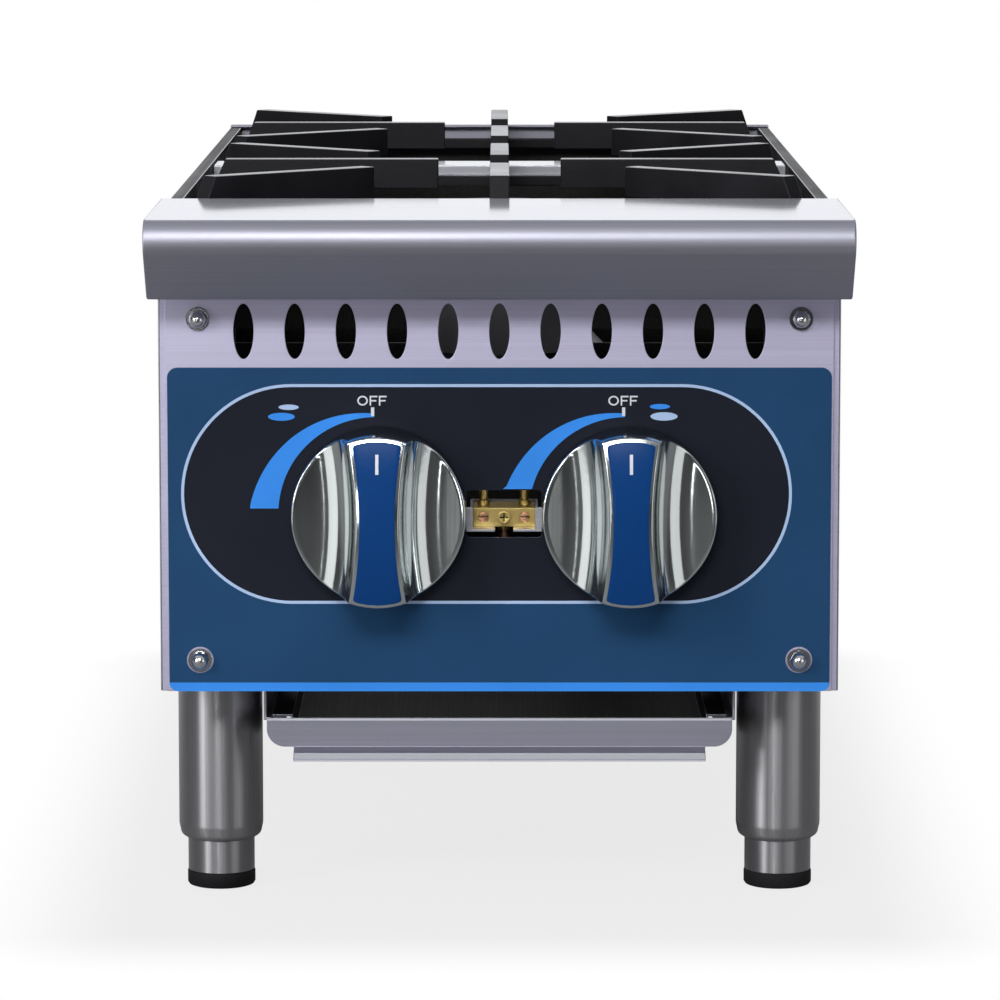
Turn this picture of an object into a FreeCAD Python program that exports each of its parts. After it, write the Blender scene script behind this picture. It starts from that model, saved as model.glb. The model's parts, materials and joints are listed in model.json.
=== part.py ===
"""Two-burner gas hot plate, counter-top, 12 inch class.

Millimetres. +Z is up, X runs to the right seen from the front, Y runs from the front to the back.
The origin lies on the counter, under the middle of the hot plate's length and width.
"""
import FreeCAD
import Part
import Sketcher
import math
import os

# Driving dimensions: name, value, meaning
SIZES = (
    ("sheet", 1.2, "sheet steel of the cabinet"),
    ("cabinet_width", 299, "over the side panels"),
    ("cabinet_depth", 636, "face of the front panel to the back of the rear panel"),
    ("cabinet_bottom", 97, "underside of the cabinet above the counter"),
    ("deck_height", 309, "top of the front ledge above the counter"),
    ("nose_reach", 355, "foremost line of the ledge in front of the origin"),
    ("ledge_overhang", 50, "foremost line of the ledge in front of the front panel"),
    ("ledge_side", 3, "ledge past the side panels"),
    ("deck_depth", 127, "foremost line of the ledge to its rear edge"),
    ("deck_lip", 10, "turned-down lip at the sides and rear of the deck"),
    ("nose_radius", 9, "rounding of the ledge's front"),
    ("nose_slope", 44, "lean of the ledge's face from upright, degrees"),
    ("nose_drop", 36, "deck down to the lower edge of the ledge"),
    ("top_flange", 6, "side panel's top fold"),
    ("seat_drop", 12, "deck down to the seats that carry the grates"),
    ("seat_width", 9, "width of the grate seats"),
    ("front_flange", 26, "side panel's front fold"),
    ("rear_flange", 18, "side panel's rear fold"),
    ("bottom_flange", 14, "side panel's bottom fold"),
    ("rear_cap", 9, "rear panel's top fold"),
    ("panel_inset", 3, "front panel's ends in from the side panels"),
    ("panel_top_gap", 9, "deck down to the front panel's upper edge"),
    ("panel_return", 9, "front panel's bottom fold"),
    ("vent_width", 8.8, "oval vent"),
    ("vent_height", 24.3, "oval vent"),
    ("vent_pitch", 22.4, "between vents"),
    ("vent_count", 11, "vents in the row"),
    ("vent_drop", 52.5, "deck down to the middle of the vents"),
    ("nut_inset", 14.5, "dome nuts in from the front panel's ends"),
    ("upper_nut_drop", 47, "deck down to the upper nuts"),
    ("lower_nut_rise", 14, "cabinet underside up to the lower nuts"),
    ("washer_diameter", 10.6, "washer under a dome nut"),
    ("washer_thickness", 1, "washer under a dome nut"),
    ("nut_across", 8, "dome nut across its corners"),
    ("nut_hex_height", 2.6, "six-sided foot of the dome nut"),
    ("nut_dome", 7.4, "round cap of the dome nut"),
    ("overlay_inset", 0.9, "printed overlay in from the front panel's ends"),
    ("overlay_drop", 68.4, "deck down to the printed overlay's upper edge"),
    ("overlay_film", 0.4, "thickness of the overlay"),
    ("overlay_corner", 4.5, "corner radius of the overlay"),
    ("overlay_hole_margin", 0.6, "overlay hole round each lower washer"),
    ("window_width", 33, "pilot window"),
    ("window_height", 21, "pilot window"),
    ("window_corner", 1.5, "pilot window's corner radius"),
    ("control_drop", 133, "deck down to the knob axes"),
    ("knob_spread", 55, "knob axis from the pilot block's middle"),
    ("stem_hole", 13, "hole in the panel for a valve stem"),
    ("knob_diameter", 77.6, "knob's back"),
    ("knob_draft", 1.8, "lean of the knob's rim from back to front"),
    ("knob_height", 36.5, "knob's back to the top of its handle"),
    ("knob_gap", 1, "knob's back off the overlay"),
    ("knob_dome", 139, "radius of the handle's crown"),
    ("knob_waist", 19, "handle's width in the middle"),
    ("knob_side_radius", 184, "hollow curve of the handle's sides"),
    ("knob_wall", 3, "knob's rim wall"),
    ("knob_cavity", 5, "depth of the hollow in the knob's back"),
    ("hub_diameter", 20, "knob's hub"),
    ("scoop_floor", 8, "lowest line of the finger scoops above the knob's back"),
    ("scoop_draft", 1.5, "lean of the handle's sides"),
    ("scoop_radius", 14, "rounding between handle and scoop"),
    ("rim_height", 15, "scoop's outer edge above the knob's back"),
    ("inlay_margin", 1.8, "bare border round the handle's inlay"),
    ("inlay_thickness", 0.6, "handle's inlay"),
    ("inlay_bond", 0.05, "glue line under the inlay"),
    ("stem_diameter", 8, "valve stem"),
    ("stem_flat", 1.5, "depth of the flat on the stem"),
    ("stem_grip", 20, "length of stem inside the knob"),
    ("stem_seat", 16, "length of stem inside the valve"),
    ("shaft_clearance", 0.05, "running clearance of turning and sliding round pieces"),
    ("manifold_diameter", 21.3, "manifold pipe"),
    ("manifold_wall", 2.7, "manifold pipe"),
    ("manifold_drop", 25, "manifold axis under the knob axes"),
    ("manifold_setback", 19, "manifold axis behind the face of the front panel"),
    ("manifold_end", 18, "manifold pipe past the left valve"),
    ("valve_diameter", 26, "valve body"),
    ("valve_length", 24, "valve body without bonnet"),
    ("bonnet_diameter", 18, "valve bonnet"),
    ("bonnet_length", 5, "valve bonnet"),
    ("spigot_diameter", 15, "valve's branch into the manifold"),
    ("hood_across", 14, "orifice hood across its corners"),
    ("hood_length", 13, "six-sided part of the orifice hood"),
    ("hood_tip", 8, "cone of the orifice hood"),
    ("hood_tip_root", 11.2, "cone of the orifice hood, wide end"),
    ("hood_tip_end", 7, "cone of the orifice hood, narrow end"),
    ("orifice_bore", 2, "gas hole in the hood"),
    ("inlet_diameter", 26.7, "inlet pipe, three-quarter inch pipe size"),
    ("inlet_wall", 2.9, "inlet pipe"),
    ("inlet_inset", 33.5, "inlet axis in from the right side panel"),
    ("inlet_stub", 24, "inlet pipe past the rear panel"),
    ("thread_diameter", 25.9, "threaded end of the inlet pipe"),
    ("thread_length", 19, "threaded end of the inlet pipe"),
    ("inlet_hole_margin", 1, "rear panel's hole round the inlet pipe"),
    ("elbow_bend", 26, "bend radius of the inlet elbow"),
    ("elbow_diameter", 30, "inlet elbow"),
    ("pilot_offset", 2, "pilot block and knobs to the right of the middle line"),
    ("pilot_drop", 2.8, "pilot block under the knob axes"),
    ("pilot_width", 27.4, "pilot block"),
    ("pilot_height", 8.4, "pilot block"),
    ("pilot_depth", 20, "pilot block"),
    ("pilot_screw_spread", 9.1, "adjusting screw from the block's middle"),
    ("pilot_screw_diameter", 4.4, "adjusting screw"),
    ("pilot_screw_length", 7, "adjusting screw"),
    ("pilot_slot", 0.8, "driver slot"),
    ("cover_screw_diameter", 5.9, "cover screw"),
    ("cover_screw_height", 1.4, "cover screw's head"),
    ("bracket_margin", 5, "pilot bracket behind the panel round the window"),
    ("nipple_diameter", 5.6, "tube nipple on the pilot block"),
    ("nipple_length", 2.5, "tube nipple on the pilot block"),
    ("tube_diameter", 4, "pilot tube"),
    ("tube_bore", 2.6, "pilot tube"),
    ("tube_bend", 12, "pilot tube's bends"),
    ("front_tube_rise", 46, "front pilot tube's run above the knob axes"),
    ("rear_tube_rise", 22, "rear pilot tube's run above the knob axes"),
    ("pilot_standoff", 60, "pilot head in front of its burner's middle"),
    ("pilot_head_diameter", 9, "pilot head"),
    ("pilot_head_height", 14, "pilot head"),
    ("bowl_diameter", 84, "burner bowl"),
    ("bowl_base", 68, "burner bowl's underside"),
    ("bowl_height", 34, "burner bowl"),
    ("bowl_drop", 47, "deck down to the bowl's rim"),
    ("bowl_wall", 6, "burner bowl"),
    ("bowl_floor", 9, "burner bowl"),
    ("mixing_diameter", 34, "mixing tube"),
    ("mixing_bore", 26, "mixing tube"),
    ("mixing_bend", 45, "bend of the mixing tube"),
    ("mouth_reach", 98, "mouth of the mixing tubes behind the foremost line"),
    ("bell_diameter", 42, "mixing tube's mouth"),
    ("bell_bore", 34, "mixing tube's mouth"),
    ("bell_length", 18, "mixing tube's mouth, inside"),
    ("bell_floor", 5, "mixing tube's mouth"),
    ("shutter_wall", 1.5, "air shutter"),
    ("shutter_length", 14, "air shutter"),
    ("air_window", 8, "width of the air windows along the tube"),
    ("air_window_height", 16, "height of the air windows"),
    ("head_diameter", 94, "burner head"),
    ("head_rim", 8, "burner head's rim"),
    ("head_crown", 14, "burner head in the middle"),
    ("head_spigot", 6, "burner head's ring inside the bowl"),
    ("head_wall", 3, "burner head's ring"),
    ("head_play", 0.5, "burner head's ring off the bowl's wall"),
    ("port_count", 24, "flame ports"),
    ("port_width", 2.2, "flame port"),
    ("port_height", 3.6, "flame port"),
    ("port_rise", 1.4, "flame port above the bowl's rim"),
    ("rail_offset", 24, "burner rail behind the burner's middle"),
    ("rail_gauge", 3, "burner rail"),
    ("rail_height", 22, "burner rail"),
    ("rail_tab", 16, "burner rail's end tabs"),
    ("grate_play", 1.5, "grates off the side panels"),
    ("grate_end_gap", 1, "grates off the deck and the rear panel's fold"),
    ("grate_bar", 9, "grate's bars"),
    ("grate_corner", 10, "grate's outer corners"),
    ("frame_height", 5, "grate's frame"),
    ("finger_rise", 9.5, "finger tops above the deck"),
    ("finger_depth", 14, "finger's height at its tip"),
    ("finger_shoulder", 12, "sloped outer end of a finger"),
    ("finger_ring", 29, "finger tips from the burner's middle"),
    ("corner_ring", 82, "corner finger tips from the burner's middle"),
    ("divider_width", 34, "cross divider between the grates"),
    ("divider_gap", 1, "cross divider off the grates"),
    ("divider_drop", 2.5, "deck down to the cross divider"),
    ("divider_play", 0.5, "cross divider off the side panels"),
    ("tray_face_inset", 1.4, "crumb tray's face in from the rails"),
    ("tray_face_height", 13, "crumb tray's face"),
    ("tray_face_corner", 8, "crumb tray's face, lower corners"),
    ("tray_face_top", 15, "cabinet underside down to the tray's face"),
    ("tray_setback", 17, "tray's face behind the front panel"),
    ("tray_grip_inset", 12, "grip lip in from the ends of the tray's face"),
    ("tray_grip_height", 5.5, "grip lip under the tray's face"),
    ("tray_grip_reach", 7, "grip lip in front of the tray's face"),
    ("tray_side_gap", 12, "crumb tray's walls in from the rails"),
    ("tray_rear_gap", 39, "crumb tray's rear end in from the rear panel"),
    ("tray_gauge", 1, "crumb tray"),
    ("tray_runner", 8, "crumb tray's side folds"),
    ("tray_clearance", 0.4, "tray's side folds off the rails"),
    ("rail_inset", 44.5, "tray rails in from the side panels"),
    ("rail_leg", 10, "tray rail's folds"),
    ("rail_drop", 16.2, "cabinet underside down to the tray rail's lower edge"),
    ("rail_rear_gap", 14, "tray rails off the rear panel"),
    ("channel_depth", 82, "base channels"),
    ("channel_flange", 8, "base channel's upturned edges"),
    ("channel_play", 0.3, "base channels off the side panels"),
    ("channel_setback", 9, "base channels behind the panels' inner faces"),
    ("leg_inset", 23.5, "leg axes in from the side panels"),
    ("leg_setback", 52, "leg axes from the cabinet's front and back"),
    ("leg_diameter", 38, "leg tube"),
    ("leg_mouth", 31.2, "leg tube's lower edge, outside"),
    ("leg_taper", 6.5, "leg tube's rounded lower end"),
    ("leg_knee", 36, "leg tube's lower end, across its knee"),
    ("leg_knee_rise", 1.6, "leg tube's knee above its lower edge"),
    ("leg_knee_radius", 3, "rounding of the leg tube's knee"),
    ("foot_diameter", 30, "adjustable foot"),
    ("foot_show", 15, "adjustable foot below the leg tube"),
    ("foot_engagement", 45, "adjustable foot inside the leg tube"),
    ("pad_height", 7, "rubber pad"),
    ("pad_diameter", 30.6, "rubber pad"),
    ("stud_diameter", 10, "leg's stud"),
    ("stud_length", 9, "leg's stud above the cabinet's underside"),
    ("stud_play", 0.2, "stud in its hole"),
    ("screw_diameter", 8, "cabinet screw's head"),
    ("screw_height", 2, "cabinet screw's head"),
    ("screw_inset", 9, "cabinet screws from the rear panel's edges"),
)


class Size:
    """A number that remembers the sheet expression it comes from."""

    def __init__(self, value, text):
        self.value = value
        self.text = text

    def __float__(self):
        return float(self.value)

    def __add__(self, other):
        return joined(self, "+", other, float(self) + float(other))

    def __radd__(self, other):
        return joined(other, "+", self, float(other) + float(self))

    def __sub__(self, other):
        return joined(self, "-", other, float(self) - float(other))

    def __rsub__(self, other):
        return joined(other, "-", self, float(other) - float(self))

    def __mul__(self, other):
        return joined(self, "*", other, float(self) * float(other))

    def __rmul__(self, other):
        return joined(other, "*", self, float(other) * float(self))

    def __truediv__(self, other):
        return joined(self, "/", other, float(self) / float(other))

    def __neg__(self):
        return joined(0, "-", self, -float(self))


def text_of(size):
    return size.text if isinstance(size, Size) else repr(float(size))


def joined(first, sign, second, value):
    return Size(value, f"({text_of(first)} {sign} {text_of(second)})")


def tangent(angle):
    return Size(math.tan(math.radians(float(angle))), f"tan({text_of(angle)})")


def lean_of(across, up):
    """Angle from upright, in degrees, of a line that goes across and up."""
    return Size(math.degrees(math.atan2(float(across), float(up))),
                f"(atan2({text_of(across)}; {text_of(up)}) / (1 deg))")


def distance(across, up):
    return Size(math.hypot(float(across), float(up)), f"hypot({text_of(across)}; {text_of(up)})")


doc = FreeCAD.newDocument("HotPlate")
table = doc.addObject("Spreadsheet::Sheet", "Sizes")


class Named:
    """The driving dimensions by name."""


s = Named()
for row, (name, value, meaning) in enumerate(SIZES, start=1):
    table.set(f"A{row}", meaning)
    table.set(f"B{row}", str(value))
    table.setAlias(f"B{row}", name)
    setattr(s, name, Size(value, f"Sizes.{name}"))
doc.recompute()

# Shared planes and axes
half = s.cabinet_width / 2
nose_front = -s.nose_reach
panel_front = nose_front + s.ledge_overhang
panel_back = panel_front + s.sheet
overlay_front = panel_front - s.overlay_film
rear_back = panel_front + s.cabinet_depth
rear_front = rear_back - s.sheet
deck_rear = nose_front + s.deck_depth
deck_under = s.deck_height - s.sheet
bottom = s.cabinet_bottom
seat_top = s.deck_height - s.seat_drop
opening_half = half - s.top_flange
panel_half = half - s.panel_inset
ledge_width = s.cabinet_width + 2 * s.ledge_side
nut_spread = panel_half - s.nut_inset
leg_spread = half - s.leg_inset
rail_spread = half - s.rail_inset
inlet_offset = half - s.inlet_inset
control_height = s.deck_height - s.control_drop
pilot_axis = control_height - s.pilot_drop
manifold_y = panel_front + s.manifold_setback
manifold_z = control_height - s.manifold_drop
mouth_y = nose_front + s.mouth_reach
bowl_top = s.deck_height - s.bowl_drop
bowl_bottom = bowl_top - s.bowl_height
finger_top = s.deck_height + s.finger_rise
floor_plate = bottom + s.sheet
cap_front = rear_back - s.rear_cap
grate_depth = (cap_front - deck_rear - s.divider_width) / 2 - s.grate_end_gap - s.divider_gap
grate_inset = s.grate_end_gap + grate_depth / 2
burner_y = {"front": deck_rear + grate_inset, "rear": cap_front - grate_inset}
knob_side = {"left": -1, "right": 1}
knob_x = {"left": s.pilot_offset - s.knob_spread, "right": s.pilot_offset + s.knob_spread}
burner_x = {"front": knob_x["left"], "rear": knob_x["right"]}
leg_y = {"front": panel_front + s.leg_setback, "rear": rear_back - s.leg_setback}

FRONT_VIEW = FreeCAD.Rotation(FreeCAD.Vector(1, 0, 0), 90)
TO_BACK = FreeCAD.Rotation(FreeCAD.Vector(1, 0, 0), -90)
TO_RIGHT = FreeCAD.Rotation(FreeCAD.Vector(0, 1, 0), 90)
UPRIGHT = FreeCAD.Vector(0, 1, 0)
QUARTER_TURN = 90
HALF_TURN = 180
FULL_TURN = 360
nodes = {}


def bind(thing, **sizes):
    """Tie properties to the sheet; a double underscore in a name stands for a dot."""
    for prop, size in sizes.items():
        thing.setExpression(prop.replace("__", "."), text_of(size))


def place(thing, x=0, y=0, z=0, turn=None):
    if turn is not None:
        thing.Placement = FreeCAD.Placement(FreeCAD.Vector(), turn)
    bind(thing, Placement__Base__x=x, Placement__Base__y=y, Placement__Base__z=z)
    return thing


def keep(label, thing):
    """Name a finished piece."""
    thing.Label = label
    nodes[label] = thing
    return thing


def new_body(name, x=0, y=0, z=0, turn=None):
    return place(doc.addObject("PartDesign::Body", name), x, y, z, turn)


def new_sketch(body, plane, shift_x=0, lift=0, turn=0):
    """A sketch on one of the body's origin planes, moved in or off it, or turned about its upright."""
    sketch = body.newObject("Sketcher::SketchObject", "Sketch")
    support = [feature for feature in body.Origin.OriginFeatures if feature.Role == plane]
    sketch.AttachmentSupport = [(support[0], "")]
    sketch.MapMode = "FlatFace"
    sketch.AttachmentOffset = FreeCAD.Placement(FreeCAD.Vector(), FreeCAD.Rotation(UPRIGHT, float(turn)))
    bind(sketch, AttachmentOffset__Base__x=shift_x, AttachmentOffset__Base__z=lift)
    if isinstance(turn, Size):
        bind(sketch, AttachmentOffset__Rotation__Angle=turn)
    return sketch


def fix_point(sketch, geometry, point, x, y):
    for kind, size in (("DistanceX", x), ("DistanceY", y)):
        rule = sketch.addConstraint(Sketcher.Constraint(kind, -1, 1, geometry, point, float(size)))
        if isinstance(size, Size):
            sketch.setExpression(f"Constraints[{rule}]", size.text)


def circle(sketch, x, y, diameter):
    centre = FreeCAD.Vector(float(x), float(y), 0)
    ring = sketch.addGeometry(Part.Circle(centre, FreeCAD.Vector(0, 0, 1), float(diameter) / 2))
    fix_point(sketch, ring, 3, x, y)
    rule = sketch.addConstraint(Sketcher.Constraint("Diameter", ring, float(diameter)))
    sketch.setExpression(f"Constraints[{rule}]", text_of(diameter))


def ellipse(sketch, x, y, width, height):
    """An upright oval, tied at its middle and at the ends of its two axes."""
    centre = FreeCAD.Vector(float(x), float(y), 0)
    top = centre + FreeCAD.Vector(0, float(height) / 2, 0)
    side = centre + FreeCAD.Vector(float(width) / 2, 0, 0)
    oval = sketch.addGeometry(Part.Ellipse(top, side, centre))
    sketch.exposeInternalGeometry(oval)
    fix_point(sketch, oval, 3, x, y)
    sketch.addConstraint(Sketcher.Constraint("Vertical", oval + 1))
    for axis, size in ((oval + 1, height), (oval + 2, width)):
        rule = sketch.addConstraint(Sketcher.Constraint("Distance", axis, float(size)))
        sketch.setExpression(f"Constraints[{rule}]", text_of(size))


def outline(sketch, corners, closed=True):
    """Straight runs through the corners (x, y), rounded where a corner has a radius (x, y, radius)."""
    count = len(corners)
    spots = [FreeCAD.Vector(float(corner[0]), float(corner[1]), 0) for corner in corners]
    entries = list(spots)
    exits = list(spots)
    rounded = [i for i, corner in enumerate(corners) if len(corner) == 3]
    for i in rounded:
        back = (spots[i - 1] - spots[i]).normalize()
        ahead = (spots[(i + 1) % count] - spots[i]).normalize()
        trim = float(corners[i][2]) / math.tan(back.getAngle(ahead) / 2)
        entries[i] = spots[i] + back * trim
        exits[i] = spots[i] + ahead * trim
    lines = []
    for i in range(count if closed else count - 1):
        lines.append(sketch.addGeometry(Part.LineSegment(exits[i], entries[(i + 1) % count])))
    for i, corner in enumerate(corners):
        if not closed and i == count - 1:
            fix_point(sketch, lines[-1], 2, corner[0], corner[1])
        elif not closed and i == 0:
            fix_point(sketch, lines[0], 1, corner[0], corner[1])
        elif i in rounded:
            round_corner(sketch, lines[i - 1], lines[i], entries[i], spots[i], exits[i], corner)
        else:
            sketch.addConstraint(Sketcher.Constraint("Coincident", lines[i - 1], 2, lines[i], 1))
            fix_point(sketch, lines[i], 1, corner[0], corner[1])


def round_corner(sketch, line_in, line_out, entry, spot, leave, corner):
    """A tangent arc between two runs that would meet at spot."""
    radius = float(corner[2])
    middle = (entry + leave) / 2 - spot
    centre = spot + middle * (((entry - spot).Length ** 2 + radius ** 2) ** 0.5 / middle.Length)
    left_turn = (spot - entry).cross(leave - spot).z > 0
    first, last = (entry, leave) if left_turn else (leave, entry)
    start = math.atan2(first.y - centre.y, first.x - centre.x)
    stop = math.atan2(last.y - centre.y, last.x - centre.x)
    ring = Part.Circle(centre, FreeCAD.Vector(0, 0, 1), radius)
    arc = sketch.addGeometry(Part.ArcOfCircle(ring, start, stop))
    tip = sketch.addGeometry(Part.Point(spot), True)
    sketch.addConstraint(Sketcher.Constraint("Tangent", line_in, 2, arc, 1 if left_turn else 2))
    sketch.addConstraint(Sketcher.Constraint("Tangent", line_out, 1, arc, 2 if left_turn else 1))
    rule = sketch.addConstraint(Sketcher.Constraint("Radius", arc, radius))
    sketch.setExpression(f"Constraints[{rule}]", text_of(corner[2]))
    sketch.addConstraint(Sketcher.Constraint("PointOnObject", tip, 1, line_in))
    sketch.addConstraint(Sketcher.Constraint("PointOnObject", tip, 1, line_out))
    fix_point(sketch, tip, 1, corner[0], corner[1])


def block(sketch, left, right, low, high):
    outline(sketch, ((left, low), (right, low), (right, high), (left, high)))


def pad(body, sketch, length, both=False, back=False):
    feature = body.newObject("PartDesign::Pad", "Pad")
    feature.Profile = sketch
    feature.Midplane = both
    feature.Reversed = back
    bind(feature, Length=length)
    return feature


def cut_through(body, sketch):
    """A pocket through everything, to both sides of its sketch."""
    feature = body.newObject("PartDesign::Pocket", "Pocket")
    feature.Profile = sketch
    feature.Type = "ThroughAll"
    feature.Midplane = True
    return feature


def cut_deep(body, sketch, depth, back=False):
    feature = body.newObject("PartDesign::Pocket", "Pocket")
    feature.Profile = sketch
    feature.Reversed = back
    bind(feature, Length=depth)
    return feature


def spin(body, sketch, kind="PartDesign::Revolution", axis="V_Axis", angle=FULL_TURN):
    feature = body.newObject(kind, "Spin")
    feature.Profile = sketch
    feature.ReferenceAxis = (sketch, [axis])
    feature.Angle = angle
    return feature


def ring_of(body, feature, sketch, count, axis="V_Axis"):
    """Copies of a feature all round an axis of its sketch."""
    pattern = body.newObject("PartDesign::PolarPattern", "Ring")
    pattern.Originals = [feature]
    pattern.Axis = (sketch, [axis])
    pattern.Angle = FULL_TURN
    bind(pattern, Occurrences=count)
    body.Tip = pattern
    return pattern


def pipe(body, profile, path):
    feature = body.newObject("PartDesign::AdditivePipe", "Pipe")
    feature.Profile = profile
    edges = [f"Edge{i + 1}" for i in range(len(path.Shape.Edges))]
    feature.Spine = (path, edges)
    return feature


def cylinder(radius, height, x=0, y=0, z=0, turn=None):
    thing = place(doc.addObject("Part::Cylinder", "Cylinder"), x, y, z, turn)
    bind(thing, Radius=radius, Height=height)
    return thing


def cone(low_radius, high_radius, height, x=0, y=0, z=0, turn=None):
    thing = place(doc.addObject("Part::Cone", "Cone"), x, y, z, turn)
    bind(thing, Radius1=low_radius, Radius2=high_radius, Height=height)
    return thing


def hexagon(across, height, x=0, y=0, z=0, turn=None):
    thing = place(doc.addObject("Part::Prism", "Hexagon"), x, y, z, turn)
    thing.Polygon = 6
    bind(thing, Circumradius=across / 2, Height=height)
    return thing


def sphere(radius, x=0, y=0, z=0):
    thing = place(doc.addObject("Part::Sphere", "Sphere"), x, y, z)
    bind(thing, Radius=radius)
    return thing


def cuboid(length, width, height, x=0, y=0, z=0):
    thing = place(doc.addObject("Part::Box", "Cuboid"), x, y, z)
    bind(thing, Length=length, Width=width, Height=height)
    return thing


def fuse(*things):
    whole = doc.addObject("Part::MultiFuse", "Fuse")
    whole.Shapes = list(things)
    return whole


def cut(base, tool):
    rest = doc.addObject("Part::Cut", "Cut")
    rest.Base = base
    rest.Tool = tool
    return rest


def common(base, tool):
    overlap = doc.addObject("Part::Common", "Common")
    overlap.Base = base
    overlap.Tool = tool
    return overlap


def group(things):
    whole = doc.addObject("Part::Compound", "Group")
    whole.Links = list(things)
    return whole


def make_side_panel(label, side):
    """One sheet folded in at the front, rear and bottom, with a stepped top that carries the grates."""
    body = new_body(label)
    edge = side * half
    inner = side * (half - s.sheet)
    lip = side * opening_half
    lip_outer = side * (opening_half + s.sheet)
    seat_end = side * (opening_half - s.seat_width)
    foot_end = side * (half - s.bottom_flange)
    section = new_sketch(body, "XZ_Plane", lift=-panel_back)
    outline(section, (
        (edge, bottom), (edge, deck_under), (lip, deck_under), (lip, seat_top), (seat_end, seat_top),
        (seat_end, seat_top - s.sheet), (lip_outer, seat_top - s.sheet),
        (lip_outer, deck_under - s.sheet), (inner, deck_under - s.sheet), (inner, bottom + s.sheet),
        (foot_end, bottom + s.sheet), (foot_end, bottom)))
    pad(body, section, rear_front - panel_back, back=True)
    front_fold = new_sketch(body, "XZ_Plane", lift=-panel_back)
    block(front_fold, side * (half - s.front_flange), edge, bottom, seat_top - s.sheet)
    pad(body, front_fold, s.sheet, back=True)
    rear_fold = new_sketch(body, "XZ_Plane", lift=-rear_front)
    block(rear_fold, side * (half - s.rear_flange), edge, bottom, seat_top - s.sheet)
    pad(body, rear_fold, s.sheet)
    keep(label, body)


def make_rear_panel():
    """Upright sheet with a fold over the top, holed for the gas inlet."""
    body = new_body("rear_panel")
    section = new_sketch(body, "YZ_Plane")
    top = s.deck_height
    outline(section, (
        (rear_front, bottom), (rear_back, bottom), (rear_back, top), (cap_front, top),
        (cap_front, deck_under), (rear_front, deck_under)))
    pad(body, section, s.cabinet_width, both=True)
    hole = new_sketch(body, "XZ_Plane", lift=-rear_back)
    circle(hole, inlet_offset, manifold_z, s.inlet_diameter + 2 * s.inlet_hole_margin)
    cut_deep(body, hole, s.sheet, back=True)
    keep("rear_panel", body)


def make_base_channel(label, front):
    """Upturned channel across the cabinet floor; the legs bolt up into it."""
    body = new_body(label)
    rear = front + s.channel_depth
    low = floor_plate
    high = low + s.channel_flange
    section = new_sketch(body, "YZ_Plane")
    outline(section, (
        (front, low), (rear, low), (rear, high), (rear - s.sheet, high), (rear - s.sheet, low + s.sheet),
        (front + s.sheet, low + s.sheet), (front + s.sheet, high), (front, high)))
    pad(body, section, 2 * (half - s.sheet - s.channel_play), both=True)
    holes = new_sketch(body, "XY_Plane", lift=low)
    axis = leg_y["front"] if label == "base_front_channel" else leg_y["rear"]
    for side in (-1, 1):
        circle(holes, side * leg_spread, axis, s.stud_diameter + 2 * s.stud_play)
    cut_deep(body, holes, s.sheet, back=True)
    keep(label, body)


def front_body(label, y):
    """A body drawn as seen from the front, growing towards the viewer from depth y."""
    return new_body(label, 0, y, 0, FRONT_VIEW)


def make_front_panel():
    body = front_body("front_panel", panel_back)
    face = new_sketch(body, "XY_Plane")
    block(face, -panel_half, panel_half, bottom, s.deck_height - s.panel_top_gap)
    pad(body, face, s.sheet)
    fold = new_sketch(body, "XY_Plane")
    fold_half = half - s.front_flange - s.channel_play
    block(fold, -fold_half, fold_half, bottom, bottom + s.sheet)
    pad(body, fold, s.panel_return, back=True)
    holes = new_sketch(body, "XY_Plane")
    window_outline(holes)
    for x in knob_x.values():
        circle(holes, x, control_height, s.stem_hole)
    cut_deep(body, holes, s.sheet, back=True)
    vent = new_sketch(body, "XY_Plane")
    row = s.vent_pitch * (s.vent_count - 1)
    ellipse(vent, -row / 2, s.deck_height - s.vent_drop, s.vent_width, s.vent_height)
    first = cut_deep(body, vent, s.sheet, back=True)
    vents = body.newObject("PartDesign::LinearPattern", "Vents")
    vents.Originals = [first]
    vents.Direction = (vent, ["H_Axis"])
    bind(vents, Length=row, Occurrences=s.vent_count)
    body.Tip = vents
    keep("front_panel", body)


def window_outline(sketch):
    left = s.pilot_offset - s.window_width / 2
    right = s.pilot_offset + s.window_width / 2
    low = control_height - s.window_height / 2
    high = control_height + s.window_height / 2
    radius = s.window_corner
    outline(sketch, ((left, low, radius), (right, low, radius), (right, high, radius),
                     (left, high, radius)))


def make_control_overlay():
    """Printed film on the lower part of the front panel."""
    body = front_body("control_overlay", panel_front)
    face = new_sketch(body, "XY_Plane")
    side = panel_half - s.overlay_inset
    top = s.deck_height - s.overlay_drop
    radius = s.overlay_corner
    outline(face, ((-side, bottom, radius), (side, bottom, radius), (side, top, radius),
                   (-side, top, radius)))
    pad(body, face, s.overlay_film)
    holes = new_sketch(body, "XY_Plane")
    window_outline(holes)
    for x in knob_x.values():
        circle(holes, x, control_height, s.stem_hole)
    for side in (-1, 1):
        circle(holes, side * nut_spread, bottom + s.lower_nut_rise,
               s.washer_diameter + 2 * s.overlay_hole_margin)
    cut_deep(body, holes, s.overlay_film, back=True)
    keep("control_overlay", body)


def make_panel_nuts():
    """Dome nuts with washers at the corners of the front panel."""
    nuts = []
    dome = s.nut_dome / 2
    for side in (-1, 1):
        for height in (s.deck_height - s.upper_nut_drop, bottom + s.lower_nut_rise):
            x = side * nut_spread
            washer = cylinder(s.washer_diameter / 2, s.washer_thickness, x, panel_front, height, FRONT_VIEW)
            hex_front = panel_front - s.washer_thickness
            foot = hexagon(s.nut_across, s.nut_hex_height, x, hex_front, height, FRONT_VIEW)
            cap = sphere(dome, x, hex_front - s.nut_hex_height, height)
            nuts.append(fuse(washer, foot, common(cap, cylinder(
                dome, s.nut_across, x, hex_front - s.nut_hex_height, height, FRONT_VIEW))))
    keep("panel_nuts", group(nuts))


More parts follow.
